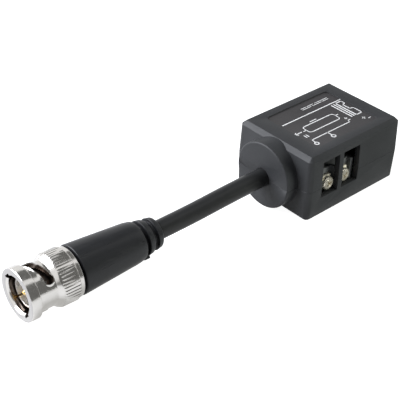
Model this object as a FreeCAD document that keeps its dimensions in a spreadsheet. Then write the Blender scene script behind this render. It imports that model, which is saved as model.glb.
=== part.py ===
import FreeCAD, Part
import math
import os
import re
import Sketcher
from FreeCAD import Matrix, Placement, Rotation, Vector

# A passive video balun: a two-shell case with a round nose and two screw terminals, a short coax lead
# and a bayonet plug. Millimetres. +X runs from the plug to the back of the case, +Z is up, the terminals
# face -Y, and the origin is under the middle of the case and its nose.

# Sizes in millimetres and degrees. Stations of the plug are measured back from its front face.
SIZES = (
    ("case_length", 38.7, "case along X at the parting line, without the nose"),
    ("case_width", 29.6, "case along Y at the parting line"),
    ("case_height", 20.6, "case from base to top"),
    ("case_corner", 1.9, "radius of the upright corners at the parting line"),
    ("case_wall", 1.8, "side walls"),
    ("roof_wall", 1.8, "top wall"),
    ("floor_wall", 1.6, "bottom wall"),
    ("inner_corner", 0.8, "radius of the inside corners"),
    ("parting_height", 9.8, "height of the line where the shells meet"),
    ("upper_draft", 2.46, "lean of the upper walls"),
    ("lower_draft", 1.66, "lean of the lower walls"),
    ("top_chamfer", 1.2, "bevel round the top face"),
    ("base_chamfer", 0.5, "bevel round the base"),
    ("lip_height", 1.0, "locating lip on the lower shell"),
    ("lip_wall", 0.8, "part of the wall that the lip takes"),
    ("lip_clearance", 0.1, "play of the lip in the upper shell"),
    ("cut_margin", 1.0, "how far a cut starts outside what it cuts"),
    ("nose_length", 3.8, "nose in front of the case"),
    ("nose_margin", 0.1, "nose clear of the base plane and of the top plane"),
    ("nose_wall", 1.8, "front and side walls of the nose"),
    ("nose_edge", 0.5, "rounded edge of the nose"),
    ("label_length", 26.0, "label recess along X"),
    ("label_width", 20.8, "label recess along Y"),
    ("label_depth", 0.3, "label recess below the top face"),
    ("label_corner", 1.6, "label recess corner radius"),
    ("label_centre", 2.3, "middle of the label recess along X"),
    ("window_centre", -4.43, "middle of the two windows along X"),
    ("window_pitch", 8.5, "distance between the windows"),
    ("window_width", 6.8, "window along X"),
    ("window_bottom", 6.3, "lower edge of the windows"),
    ("window_top", 18.1, "upper edge of the windows"),
    ("board_height", 3.6, "underside of the circuit board"),
    ("board_thickness", 1.6, "circuit board"),
    ("board_gap", 0.6, "board edge to case wall"),
    ("board_corner", 1.0, "board corner radius"),
    ("post_radius", 1.5, "posts under the board"),
    ("post_inset", 4.6, "posts in from the case's outside"),
    ("terminal_pitch", 6.9, "distance between the screws"),
    ("terminal_height", 8.85, "height of the screws"),
    ("terminal_recess", 3.3, "terminal face behind the case's side"),
    ("block_depth", 7.0, "terminal block along Y"),
    ("block_top", 13.1, "height of the terminal block's top"),
    ("block_rib", 1.2, "ribs beside the terminals"),
    ("block_rib_gap", 0.3, "ribs clear of the case wall"),
    ("block_bore_depth", 6.0, "screw's clearance bore behind the terminal face"),
    ("block_bore_clearance", 0.35, "clearance bore round the screw"),
    ("contact_width", 4.8, "contact plate along X"),
    ("contact_tall", 4.6, "contact plate along Z"),
    ("contact_thickness", 0.8, "contact plate"),
    ("contact_clearance", 0.05, "contact plate in the block"),
    ("boss_radius", 2.0, "threaded boss behind the contact plate"),
    ("boss_length", 1.4, "threaded boss"),
    ("tail_width", 1.2, "solder tail along X"),
    ("tail_end", 2.8, "height of the solder tail's end"),
    ("tail_hole", 0.9, "radius of the tail's hole in the board"),
    ("screw_radius", 1.25, "terminal screw's shank"),
    ("screw_clearance", 0.05, "shank in the boss"),
    ("screw_length", 6.3, "shank under the head"),
    ("screw_point", 0.3, "bevel at the shank's end"),
    ("head_radius", 2.1, "screw head"),
    ("head_height", 1.55, "screw head"),
    ("head_round", 0.9, "round of the head's edge"),
    ("recess_width", 0.6, "cross recess arm"),
    ("recess_span", 2.5, "cross recess from tip to tip"),
    ("recess_depth", 0.9, "cross recess"),
    ("washer_side", 4.2, "square clamp washer"),
    ("washer_thickness", 0.8, "square clamp washer"),
    ("washer_corner", 0.4, "clamp washer corner radius"),
    ("washer_clearance", 0.2, "clamp washer round the shank"),
    ("washer_turn", 8.0, "turn of the second clamp washer in its bay"),
    ("core_outer", 5.0, "ferrite ring, outer radius"),
    ("core_inner", 2.4, "ferrite ring, inner radius"),
    ("core_height", 4.6, "ferrite ring"),
    ("core_edge", 0.4, "bevel of the ferrite ring"),
    ("core_offset", 7.6, "ferrite ring behind the middle of the board"),
    ("core_y", 2.0, "ferrite ring beside the middle of the board"),
    ("winding_wall", 0.45, "winding on the ring"),
    ("winding_gap", 0.1, "winding clear of the ring"),
    ("winding_angle", 130.0, "part of the ring that a winding covers"),
    ("suppressor_end", 6.85, "middle of the surge suppressor in from the board's end"),
    ("suppressor_inset", 4.4, "surge suppressor in from the board's side"),
    ("suppressor_radius", 1.5, "surge suppressor body"),
    ("suppressor_length", 6.0, "surge suppressor body"),
    ("suppressor_rise", 2.1, "surge suppressor's axis above the board"),
    ("suppressor_reach", 1.2, "its leads beyond the body"),
    ("capacitor_offset", 4.9, "filter capacitor in front of the middle of the board"),
    ("capacitor_y", 6.0, "filter capacitor beside the middle of the board"),
    ("capacitor_radius", 2.6, "filter capacitor disc"),
    ("capacitor_thickness", 1.8, "filter capacitor disc"),
    ("capacitor_stand", 1.2, "filter capacitor above the board"),
    ("lead_radius", 0.3, "leads of the small parts"),
    ("lead_spacing", 2.5, "leads of the filter capacitor"),
    ("cable_radius", 2.75, "coax jacket"),
    ("cable_clearance", 0.03, "jacket in the nose, the collar and the boot"),
    ("collar_length", 2.5, "crimped collar behind the nose's front wall"),
    ("collar_radius", 4.0, "crimped collar, outside"),
    ("collar_gap", 0.1, "collar behind the wall"),
    ("coax_core_radius", 1.45, "coax dielectric"),
    ("conductor_radius", 0.4, "coax inner conductor"),
    ("conductor_clearance", 0.02, "conductor in the dielectric"),
    ("stripped_core", 2.6, "stripped dielectric in the case"),
    ("stripped_wire", 5.4, "bared wires from the jacket to where they turn down"),
    ("wire_bend", 1.2, "bend of the bared wires"),
    ("screen_radius", 0.5, "twisted screen wires"),
    ("screen_offset", 2.1, "screen wires beside the axis"),
    ("cable_entry", 30.0, "station of the jacket's end in the plug"),
    ("nut_length", 15.5, "coupling ring"),
    ("rim_radius", 7.25, "front rim of the coupling ring"),
    ("rim_length", 2.9, "front rim"),
    ("rim_edge", 0.3, "bevels of the coupling ring's edges"),
    ("sleeve_radius", 6.15, "coupling ring between rim and knurl"),
    ("shoulder_start", 8.1, "station where the shoulder starts to rise"),
    ("shoulder_end", 9.1, "station where the shoulder ends"),
    ("shoulder_radius", 7.0, "top of the shoulder"),
    ("knurl_start", 9.8, "station of the knurl"),
    ("knurl_end", 14.0, "station of the knurl's end"),
    ("knurl_radius", 7.35, "knurl, outside"),
    ("knurl_depth", 0.25, "knurl groove"),
    ("knurl_width", 0.5, "knurl groove"),
    ("knurl_count", 48, "knurl grooves"),
    ("rear_radius", 7.0, "plain ring behind the knurl"),
    ("nut_bore", 4.9, "bore that takes the socket, radius"),
    ("mouth_chamfer", 0.6, "bevel of the mouth"),
    ("chamber_start", 9.6, "station of the rear chamber"),
    ("chamber_radius", 5.8, "rear chamber"),
    ("notch_wall", 0.32, "wall left outside the two entry grooves"),
    ("slot_width", 2.3, "ramp slots and their entry grooves"),
    ("slot_start", 3.2, "station of the ramp slots' front edge at their start"),
    ("slot_rise", 2.35, "how far the ramp slots run back"),
    ("slot_end_radius", 1.3, "round hole at the end of a ramp slot"),
    ("slot_roll", 43.0, "where the ramp slots start round the plug"),
    ("flange_start", 9.7, "station of the plug body's flange"),
    ("flange_thickness", 1.5, "flange"),
    ("flange_gap", 0.4, "flange in the rear chamber"),
    ("neck_radius", 3.8, "plug body behind the flange"),
    ("stem_start", 20.4, "station of the crimp stem"),
    ("stem_end", 29.6, "station of the crimp stem's end"),
    ("stem_radius", 2.45, "crimp stem"),
    ("core_clearance", 0.05, "coax dielectric in the crimp stem"),
    ("body_bore", 2.9, "bore of the plug body, radius"),
    ("bore_end_wall", 1.4, "wall between the bore's end and the crimp stem"),
    ("contact_start", 1.9, "station of the outer contact's front"),
    ("contact_radius", 4.05, "outer contact, outside radius"),
    ("contact_bore", 3.45, "outer contact, inside radius"),
    ("contact_seat", 0.9, "depth of the outer contact's seat in the flange"),
    ("contact_wall_end", 8.7, "station where the outer contact's wall steps in under the gasket"),
    ("contact_step", 0.25, "step from the outer contact's wall down to its seat"),
    ("contact_edge", 0.15, "bevel of the outer contact's front"),
    ("contact_slot", 0.5, "slots between the contact's fingers"),
    ("contact_slot_length", 5.0, "slots between the contact's fingers"),
    ("contact_slots", 4, "slots between the contact's fingers"),
    ("contact_roll", 45.0, "where the first of these slots lies round the plug"),
    ("press_clearance", 0.02, "outer contact in its seat"),
    ("insulator_start", 5.5, "station of the insulator's front"),
    ("insulator_clearance", 0.05, "insulator in the contact and in the body"),
    ("pin_start", 1.7, "station of the pin's tip"),
    ("pin_radius", 0.675, "centre pin"),
    ("pin_tip", 0.6, "length of the pin's taper"),
    ("pin_tip_radius", 0.3, "pin's tip"),
    ("pin_shoulder", 12.0, "station of the pin's shoulder"),
    ("pin_rear_radius", 1.0, "pin behind the shoulder"),
    ("pin_clearance", 0.04, "pin in the insulator"),
    ("ferrule_gap", 0.1, "ferrule behind the neck"),
    ("ferrule_radius", 3.4, "crimp ferrule, outside radius"),
    ("ferrule_clearance", 0.03, "ferrule on the stem"),
    ("gasket_length", 0.8, "soft ring in the mouth"),
    ("gasket_clearance", 0.05, "soft ring round the outer contact"),
    ("gasket_gap", 0.15, "soft ring in the socket's bore"),
    ("spring_height", 1.4, "dished spring at rest"),
    ("spring_clearance", 0.2, "spring and thrust washer round the neck and in the rear chamber"),
    ("spring_face", 0.35, "dished spring's ends"),
    ("thrust_thickness", 0.5, "thrust washer"),
    ("ring_thickness", 0.8, "retaining ring"),
    ("ring_bite", 0.35, "retaining ring's reach into its groove"),
    ("ring_width", 1.65, "retaining ring from inside to outside"),
    ("ring_clearance", 0.05, "retaining ring in its groove"),
    ("ring_angle", 320.0, "retaining ring, round its open gap"),
    ("boot_start", 16.2, "station of the boot's front"),
    ("boot_radius", 7.0, "boot at its front"),
    ("boot_edge", 0.4, "bevel of the boot's front"),
    ("boot_cone_end", 34.6, "station where the boot's long cone ends"),
    ("boot_cone_radius", 5.85, "boot at the end of the long cone"),
    ("boot_shoulder_end", 36.5, "station where the boot's body ends"),
    ("boot_shoulder_radius", 5.45, "boot at the end of its body"),
    ("boot_groove", 1.3, "groove in front of the relief ring"),
    ("boot_tail_groove", 1.5, "groove in front of the tail ring"),
    ("boot_root", 3.7, "boot in the grooves"),
    ("boot_ring_length", 1.7, "relief ring"),
    ("boot_ring_radius", 5.12, "relief ring, front"),
    ("boot_ring_taper", 0.27, "relief ring, front to back"),
    ("boot_tail_length", 1.7, "tail ring"),
    ("boot_tail_radius", 4.64, "tail ring, front"),
    ("boot_tail_taper", 0.31, "tail ring, front to back"),
    ("boot_clearance", 0.05, "boot round the metal parts"),
)
NAMES = {alias for alias, number, meaning in SIZES}

# Route of the lead from the middle of its exit in the nose's face: it starts inside the case, leaves it
# along -X and comes down to the plug, which lies along the last run.
LEAD_STEPS = (
    Vector(10.0, 0.0, 0.0),
    Vector(-10.15, 0.0, 0.0),
    Vector(-30.3, 2.16, -3.05),
    Vector(-50.5, 2.48, -2.71),
)
LEAD_BEND = 0.45

# How far an edge may lie off the level that it is looked for at.
LEVEL_TOLERANCE = 1e-4

# Places that several pieces share, as expressions of the sizes.
FRONT = "(nose_length - case_length) / 2"
CASE_X = "nose_length / 2"
NOSE_FACE = "-(nose_length + case_length) / 2"
NOSE_RADIUS = "case_height / 2 - nose_margin"
INNER_LENGTH = "case_length - 2 * case_wall"
INNER_WIDTH = "case_width - 2 * case_wall"
BOARD_TOP = "board_height + board_thickness"
TERMINAL_FACE = "case_width / 2 - terminal_recess"
BOARD_END = "nose_length / 2 + case_length / 2 - case_wall - board_gap"
BOARD_SIDE = "case_width / 2 - case_wall - board_gap"
FLANGE_END = "flange_start + flange_thickness"
CONTACT_END = "flange_start + contact_seat"
THRUST_START = "flange_start + flange_thickness + spring_height"
RING_START = "flange_start + flange_thickness + spring_height + thrust_thickness"
SEAT_RADIUS = "contact_radius - contact_step"
BORE_END = "(stem_start - bore_end_wall)"
STEM_BORE = "coax_core_radius + core_clearance"
SPRING_INNER = "neck_radius + spring_clearance"
SPRING_OUTER = "chamber_radius - spring_clearance"
RING_OUTER = "chamber_radius + ring_bite"

doc = FreeCAD.newDocument("VideoBalun")
sheet = doc.addObject("Spreadsheet::Sheet", "Sizes")
for row, (alias, number, meaning) in enumerate(SIZES, start=1):
    sheet.set(f"A{row}", meaning)
    sheet.set(f"B{row}", str(number))
    sheet.setAlias(f"B{row}", alias)
doc.recompute()
pieces = []


def bound(text):
    """The expression with every size written as a cell of the sheet."""
    return re.sub(r"[a-z][a-z_0-9]*", lambda word: f"Sizes.{word[0]}" if word[0] in NAMES else word[0], text)


def value(text):
    """What an expression of the sizes comes to."""
    return float(sheet.evalExpression(bound(text)))


def bind(item, name, text):
    """Tie a property of an object to an expression of the sizes."""
    item.setExpression(name, bound(text))


def new_body(name, placement=Placement()):
    """An empty body for one piece, listed for export."""
    body = doc.addObject("PartDesign::Body", name)
    body.Label = name
    body.Placement = placement
    pieces.append(body)
    return body


def origin_feature(body, role):
    """A plane or axis of the body's own origin."""
    return next(item for item in body.Origin.OriginFeatures if item.Role == role)


def new_sketch(body, plane, offset):
    """A sketch on one of the body's origin planes, moved along the plane's normal."""
    sketch = body.newObject("Sketcher::SketchObject", "Profile")
    sketch.AttachmentSupport = [(origin_feature(body, plane), "")]
    sketch.MapMode = "FlatFace"
    bind(sketch, "AttachmentOffset.Base.z", offset)
    return sketch


def dimension(sketch, kind, *where, text):
    """A driving dimension whose value is an expression of the sizes."""
    index = sketch.addConstraint(Sketcher.Constraint(kind, *where, value(text)))
    bind(sketch, f"Constraints[{index}]", text)


def add_polygon(sketch, corners):
    """A closed outline of straight lines through the given corners."""
    points = [Vector(value(across), value(along), 0) for across, along in corners]
    first = sketch.GeometryCount
    count = len(corners)
    for start, end in zip(points, points[1:] + points[:1]):
        sketch.addGeometry(Part.LineSegment(start, end), False)
    for number, (across, along) in enumerate(corners):
        line = first + number
        following = first + (number + 1) % count
        sketch.addConstraint(Sketcher.Constraint("Coincident", line, 2, following, 1))
        dimension(sketch, "DistanceX", -1, 1, line, 1, text=across)
        dimension(sketch, "DistanceY", -1, 1, line, 1, text=along)


def add_rectangle(sketch, left, bottom, right, top):
    """A plain rectangle between two corners."""
    add_polygon(sketch, [(left, bottom), (right, bottom), (right, top), (left, top)])


def add_circle(sketch, across, along, radius):
    """A circle given by its centre and radius."""
    centre = Vector(value(across), value(along), 0)
    index = sketch.addGeometry(Part.Circle(centre, Vector(0, 0, 1), value(radius)), False)
    dimension(sketch, "DistanceX", -1, 1, index, 3, text=across)
    dimension(sketch, "DistanceY", -1, 1, index, 3, text=along)
    dimension(sketch, "Radius", index, text=radius)


def add_rounded_rectangle(sketch, middle, length, width, corner):
    """A rectangle about a point of the X axis, with four arcs as its corners."""
    half_length = f"(({length}) / 2 - ({corner}))"
    half_width = f"(({width}) / 2 - ({corner}))"
    radius = value(corner)
    first = sketch.GeometryCount
    quarters = ((1, 1), (-1, 1), (-1, -1), (1, -1))
    for number, (side, end) in enumerate(quarters):
        x = f"{middle} + {side} * {half_length}"
        y = f"{end} * {half_width}"
        circle = Part.Circle(Vector(value(x), value(y), 0), Vector(0, 0, 1), radius)
        start = number * math.pi / 2
        index = sketch.addGeometry(Part.ArcOfCircle(circle, start, start + math.pi / 2), False)
        dimension(sketch, "DistanceX", -1, 1, index, 3, text=x)
        dimension(sketch, "DistanceY", -1, 1, index, 3, text=y)
        dimension(sketch, "Radius", index, text=corner)
    for number in range(4):
        following = (number + 1) % 4
        start = sketch.getPoint(first + number, 2)
        end = sketch.getPoint(first + following, 1)
        line = sketch.addGeometry(Part.LineSegment(start, end), False)
        sketch.addConstraint(Sketcher.Constraint("Tangent", first + number, 2, line, 1))
        sketch.addConstraint(Sketcher.Constraint("Tangent", line, 2, first + following, 1))


def add_disc_segment(sketch, centre, radius, chord, above):
    """The part of a disc on one side of a level chord. The disc's centre is on the vertical axis."""
    size = value(radius)
    lift = value(chord) - value(centre)
    right = math.asin(lift / size)
    left = math.pi - right
    first, last = (right, left) if above else (left, right + 2 * math.pi)
    circle = Part.Circle(Vector(0, value(centre), 0), Vector(0, 0, 1), size)
    arc = sketch.addGeometry(Part.ArcOfCircle(circle, first, last), False)
    line = sketch.addGeometry(Part.LineSegment(sketch.getPoint(arc, 2), sketch.getPoint(arc, 1)), False)
    sketch.addConstraint(Sketcher.Constraint("Coincident", arc, 2, line, 1))
    sketch.addConstraint(Sketcher.Constraint("Coincident", line, 2, arc, 1))
    sketch.addConstraint(Sketcher.Constraint("Horizontal", line))
    sketch.addConstraint(Sketcher.Constraint("PointOnObject", arc, 3, -2))
    dimension(sketch, "DistanceY", -1, 1, arc, 3, text=centre)
    dimension(sketch, "DistanceY", -1, 1, line, 1, text=chord)
    dimension(sketch, "Radius", arc, text=radius)


def pad(body, sketch, length, backwards=False, draft=None):
    """Material from the sketch along its normal, leaning inwards where a draft is given."""
    feature = body.newObject("PartDesign::Pad", "Pad")
    feature.Profile = sketch
    feature.Reversed = backwards
    bind(feature, "Length", length)
    if draft:
        bind(feature, "TaperAngle", f"-{draft}")
    doc.recompute()
    return feature


def pocket(body, sketch, length, backwards=False, draft=None, both_ways=False):
    """A cut from the sketch against its normal. It has to take material away."""
    before = body.Shape.Volume
    feature = body.newObject("PartDesign::Pocket", "Pocket")
    feature.Profile = sketch
    feature.Reversed = backwards
    feature.Midplane = both_ways
    bind(feature, "Length", length)
    if draft:
        bind(feature, "TaperAngle", f"-{draft}")
    doc.recompute()
    if not body.Shape.Volume < before:
        raise RuntimeError(f"{body.Label}: {feature.Name} cuts nothing, {feature.getStatusString()}")
    return feature


def around(body, feature, count):
    """Copies of a feature evenly round the body's Z axis."""
    pattern = body.newObject("PartDesign::PolarPattern", "Pattern")
    pattern.Originals = [feature]
    pattern.Axis = (origin_feature(body, "Z_Axis"), [""])
    pattern.Angle = 360
    bind(pattern, "Occurrences", count)
    body.Tip = pattern
    doc.recompute()


def edges_at(shape, axis, level):
    """Names of the edges that lie wholly at one level of an axis."""
    names = []
    for number, edge in enumerate(shape.Edges, start=1):
        places = [getattr(point, axis) for point in edge.discretize(5)]
        if max(abs(place - level) for place in places) < LEVEL_TOLERANCE:
            names.append(f"Edge{number}")
    return names


def is_round(shape, name):
    """Whether an edge is an arc."""
    return isinstance(shape.getElement(name).Curve, Part.Circle)


def dress(body, kind, edges, name, size):
    """A fillet or chamfer on edges of the body's last feature."""
    base = body.Tip
    feature = body.newObject(f"PartDesign::{kind}", kind)
    feature.Base = (base, edges)
    bind(feature, name, size)
    doc.recompute()


def turned(name, corners, placement, angle=None):
    """A turned piece: an outline of (radius, station) corners revolved about Z."""
    body = new_body(name, placement)
    sketch = new_sketch(body, "XZ_Plane", "0")
    add_polygon(sketch, corners)
    feature = body.newObject("PartDesign::Revolution", "Turned")
    feature.Profile = sketch
    feature.ReferenceAxis = (sketch, ["V_Axis"])
    if angle:
        bind(feature, "Angle", angle)
    doc.recompute()
    return body


def case_shell(name, upper):
    """The outside of one shell, hollow, with its half of the nose and its share of the windows."""
    height = "case_height - parting_height" if upper else "parting_height"
    draft = "upper_draft" if upper else "lower_draft"
    wall = "roof_wall" if upper else "floor_wall"
    bevel = "top_chamfer" if upper else "base_chamfer"
    end = value("case_height") if upper else 0.0
    body = new_body(name)

    outline = new_sketch(body, "XY_Plane", "parting_height")
    add_rounded_rectangle(outline, CASE_X, "case_length", "case_width", "case_corner")
    pad(body, outline, height, backwards=not upper, draft=draft)
    room = f"0.9 * (case_corner - ({height}) * tan({draft}))"
    dress(body, "Chamfer", edges_at(body.Shape, "z", end), "Size", f"min({bevel}; {room})")

    nose = new_sketch(body, "YZ_Plane", f"{FRONT} + 2 * case_wall")
    add_disc_segment(nose, "case_height / 2", NOSE_RADIUS, "parting_height", upper)
    pad(body, nose, "nose_length + 2 * case_wall", backwards=True)
    rim = [name for name in edges_at(body.Shape, "x", value(NOSE_FACE)) if is_round(body.Shape, name)]
    dress(body, "Fillet", rim, "Radius", "nose_edge")

    inside = new_sketch(body, "XY_Plane", "parting_height")
    add_rounded_rectangle(inside, CASE_X, INNER_LENGTH, INNER_WIDTH, "inner_corner")
    pocket(body, inside, f"{height} - {wall}", backwards=upper, draft=draft)
    return body


def locating_lip(body):
    """The lip that stands up from the lower shell's wall."""
    lip = new_sketch(body, "XY_Plane", "parting_height")
    reach = "lip_wall - lip_clearance"
    add_rounded_rectangle(
        lip, CASE_X, f"{INNER_LENGTH} + 2 * ({reach})", f"{INNER_WIDTH} + 2 * ({reach})",
        f"inner_corner + {reach}",
    )
    add_rounded_rectangle(lip, CASE_X, INNER_LENGTH, INNER_WIDTH, "inner_corner")
    pad(body, lip, "lip_height")


def lip_rebate(body):
    """The step in the upper shell's wall that takes the lip."""
    rebate = new_sketch(body, "XY_Plane", "parting_height")
    add_rounded_rectangle(
        rebate, CASE_X, f"{INNER_LENGTH} + 2 * lip_wall", f"{INNER_WIDTH} + 2 * lip_wall",
        "inner_corner + lip_wall",
    )
    pocket(body, rebate, "lip_height + lip_clearance", backwards=True)


def open_shell(body):
    """The nose's hollow, the cable's hole and the two terminal windows, cut through one shell."""
    behind = f"{FRONT} + case_wall + cut_margin"
    hollow = new_sketch(body, "YZ_Plane", behind)
    add_circle(hollow, "0", "case_height / 2", f"{NOSE_RADIUS} - nose_wall")
    pocket(body, hollow, "cut_margin + case_wall + nose_length - nose_wall")
    hole = new_sketch(body, "YZ_Plane", behind)
    add_circle(hole, "0", "parting_height", "cable_radius + cable_clearance")
    pocket(body, hole, "2 * cut_margin + case_wall + nose_length")
    windows = new_sketch(body, "XZ_Plane", "case_width / 2 + cut_margin")
    for side in (-1, 1):
        middle = f"window_centre + {side} * window_pitch / 2"
        add_rectangle(
            windows, f"{middle} - window_width / 2", "window_bottom",
            f"{middle} + window_width / 2", "window_top",
        )
    pocket(body, windows, "2 * cut_margin + case_wall")


def make_case():
    """The two moulded shells."""
    lower = case_shell("housing_lower", upper=False)
    locating_lip(lower)
    open_shell(lower)
    posts = new_sketch(lower, "XY_Plane", "floor_wall / 2")
    for end in (-1, 1):
        for side in (-1, 1):
            add_circle(
                posts, f"{CASE_X} + {end} * (case_length / 2 - post_inset)",
                f"{side} * (case_width / 2 - post_inset)", "post_radius",
            )
    pad(lower, posts, "board_height - floor_wall / 2")

    upper = case_shell("housing_upper", upper=True)
    lip_rebate(upper)
    open_shell(upper)
    label = new_sketch(upper, "XY_Plane", "case_height")
    add_rounded_rectangle(label, "label_centre", "label_length", "label_width", "label_corner")
    pocket(upper, label, "label_depth")


def terminal_x(side):
    """Where a terminal's screw stands along X: side is -1 or 1."""
    return f"window_centre + {side} * terminal_pitch / 2"


def make_board():
    """The circuit board on its posts, with the holes for the terminals' tails."""
    board = new_body("circuit_board")
    outline = new_sketch(board, "XY_Plane", "board_height")
    add_rounded_rectangle(
        outline, CASE_X, f"{INNER_LENGTH} - 2 * board_gap", f"{INNER_WIDTH} - 2 * board_gap", "board_corner"
    )
    pad(board, outline, "board_thickness")
    holes = new_sketch(board, "XY_Plane", BOARD_TOP)
    for side in (-1, 1):
        add_circle(holes, terminal_x(side), f"-({TERMINAL_FACE}) + contact_thickness / 2", "tail_hole")
    pocket(board, holes, "board_thickness")


def make_terminal_block():
    """The moulded body that holds both contact plates, with a rib on each side of a screw."""
    block = new_body("terminal_block")
    tall = f"block_top - ({BOARD_TOP})"
    half = "(terminal_pitch + block_rib / 2)"
    base = new_sketch(block, "XY_Plane", BOARD_TOP)
    add_rectangle(
        base, f"window_centre - {half}", f"-({TERMINAL_FACE})",
        f"window_centre + {half}", f"-({TERMINAL_FACE}) + block_depth",
    )
    pad(block, base, tall)
    ribs = new_sketch(block, "XY_Plane", BOARD_TOP)
    for place in (-1, 0, 1):
        middle = f"window_centre + {place} * terminal_pitch"
        add_rectangle(
            ribs, f"{middle} - block_rib / 2", "-(case_width / 2 - case_wall - block_rib_gap)",
            f"{middle} + block_rib / 2", f"-({TERMINAL_FACE}) + block_rib",
        )
    pad(block, ribs, tall)
    for side in (-1, 1):
        x = terminal_x(side)
        across = "(contact_width / 2 + contact_clearance)"
        low = "terminal_height - contact_tall / 2"
        seat = new_sketch(block, "XZ_Plane", TERMINAL_FACE)
        add_rectangle(
            seat, f"{x} - {across}", f"{low} - contact_clearance",
            f"{x} + {across}", "terminal_height + contact_tall / 2 + contact_clearance",
        )
        pocket(block, seat, "contact_thickness")
        tail = new_sketch(block, "XZ_Plane", TERMINAL_FACE)
        add_rectangle(
            tail, f"{x} - tail_width / 2 - contact_clearance", BOARD_TOP,
            f"{x} + tail_width / 2 + contact_clearance", f"{low} + contact_clearance",
        )
        pocket(block, tail, "contact_thickness")
        counterbore = new_sketch(block, "XZ_Plane", TERMINAL_FACE)
        add_circle(counterbore, x, "terminal_height", "boss_radius + contact_clearance")
        pocket(block, counterbore, "contact_thickness + boss_length + contact_clearance")
        bore = new_sketch(block, "XZ_Plane", TERMINAL_FACE)
        add_circle(bore, x, "terminal_height", "screw_radius + block_bore_clearance")
        pocket(block, bore, "block_bore_depth")


def make_contact_plate(number, side):
    """A contact plate with its threaded boss and the tail that is soldered to the board."""
    plate = new_body(f"terminal_plate_{number}")
    x = terminal_x(side)
    low = "terminal_height - contact_tall / 2"
    face = new_sketch(plate, "XZ_Plane", TERMINAL_FACE)
    add_rectangle(
        face, f"{x} - contact_width / 2", low, f"{x} + contact_width / 2", f"{low} + contact_tall"
    )
    pad(plate, face, "contact_thickness", backwards=True)
    tail = new_sketch(plate, "XZ_Plane", TERMINAL_FACE)
    add_rectangle(
        tail, f"{x} - tail_width / 2", "tail_end", f"{x} + tail_width / 2", f"{low} + tail_width"
    )
    pad(plate, tail, "contact_thickness", backwards=True)
    boss = new_sketch(plate, "XZ_Plane", TERMINAL_FACE)
    add_circle(boss, x, "terminal_height", "boss_radius")
    pad(plate, boss, "contact_thickness + boss_length", backwards=True)
    thread = new_sketch(plate, "XZ_Plane", TERMINAL_FACE)
    add_circle(thread, x, "terminal_height", "screw_radius + screw_clearance")
    pocket(plate, thread, "contact_thickness + boss_length")


def make_clamp(number, side, turn):
    """The square clamp washer and the cross-recess screw that presses it on the wire."""
    outwards = Rotation(Vector(1, 0, 0), 90)
    seat = Vector(value(terminal_x(side)), -value(TERMINAL_FACE), value("terminal_height"))
    washer = new_body(f"clamp_washer_{number}", Placement(seat, outwards * Rotation(Vector(0, 0, 1), turn)))
    outline = new_sketch(washer, "XY_Plane", "0")
    add_rounded_rectangle(outline, "0", "washer_side", "washer_side", "washer_corner")
    pad(washer, outline, "washer_thickness")
    hole = new_sketch(washer, "XY_Plane", "washer_thickness")
    add_circle(hole, "0", "0", "screw_radius + washer_clearance")
    pocket(washer, hole, "washer_thickness")

    under_head = seat - Vector(0, value("washer_thickness"), 0)
    screw = turned(
        f"terminal_screw_{number}",
        [("0", "-screw_length"), ("screw_radius - screw_point", "-screw_length"),
         ("screw_radius", "screw_point - screw_length"), ("screw_radius", "0"),
         ("head_radius", "0"), ("head_radius", "head_height"), ("0", "head_height")],
        Placement(under_head, outwards),
    )
    dress(screw, "Fillet", edges_at(screw.Shape, "y", under_head.y - value("head_height")), "Radius",
          "head_round")
    arm = new_sketch(screw, "XY_Plane", "head_height")
    add_rectangle(arm, "-recess_width / 2", "-recess_width / 2", "recess_span / 2", "recess_width / 2")
    around(screw, pocket(screw, arm, "recess_depth"), "4")


def make_terminals():
    """The terminal block with its two contacts, clamp washers and screws."""
    make_terminal_block()
    for number, side, turn in ((1, -1, 0.0), (2, 1, value("washer_turn"))):
        make_contact_plate(number, side)
        make_clamp(number, side, turn)


def make_transformer():
    """The ferrite ring and its two windings, each a close layer of turns."""
    place = Vector(value(f"{CASE_X} + core_offset"), value("core_y"), value(BOARD_TOP))
    lift = "(winding_wall + winding_gap)"
    turned(
        "transformer_core",
        [("core_inner + core_edge", lift), ("core_outer - core_edge", lift),
         ("core_outer", f"{lift} + core_edge"), ("core_outer", f"{lift} + core_height - core_edge"),
         ("core_outer - core_edge", f"{lift} + core_height"),
         ("core_inner + core_edge", f"{lift} + core_height"),
         ("core_inner", f"{lift} + core_height - core_edge"), ("core_inner", f"{lift} + core_edge")],
        Placement(place, Rotation()),
    )
    half = value("winding_angle") / 2
    for number, middle in ((1, 90.0), (2, 270.0)):
        turn = Rotation(Vector(0, 0, 1), middle - half)
        body = new_body(f"transformer_winding_{number}", Placement(place, turn))
        section = new_sketch(body, "XZ_Plane", "0")
        add_rectangle(
            section, f"core_inner - {lift}", "0", f"core_outer + {lift}", f"core_height + 2 * {lift}"
        )
        add_rectangle(
            section, "core_inner - winding_gap", "winding_wall",
            "core_outer + winding_gap", f"core_height + {lift} + winding_gap",
        )
        feature = body.newObject("PartDesign::Revolution", "Winding")
        feature.Profile = section
        feature.ReferenceAxis = (section, ["V_Axis"])
        bind(feature, "Angle", "winding_angle")
        doc.recompute()


def cylinder(name, radius, tall, x, y, z, rotation=Rotation()):
    """A bound cylinder that a fusion below uses."""
    item = doc.addObject("Part::Cylinder", name)
    bind(item, "Radius", radius)
    bind(item, "Height", tall)
    item.Placement = Placement(Vector(), rotation)
    for axis, text in (("x", x), ("y", y), ("z", z)):
        bind(item, f"Placement.Base.{axis}", text)
    return item


def fuse(name, shapes):
    """One piece from several overlapping ones."""
    item = doc.addObject("Part::MultiFuse", name)
    item.Shapes = shapes
    item.Label = name
    doc.recompute()
    pieces.append(item)


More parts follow.
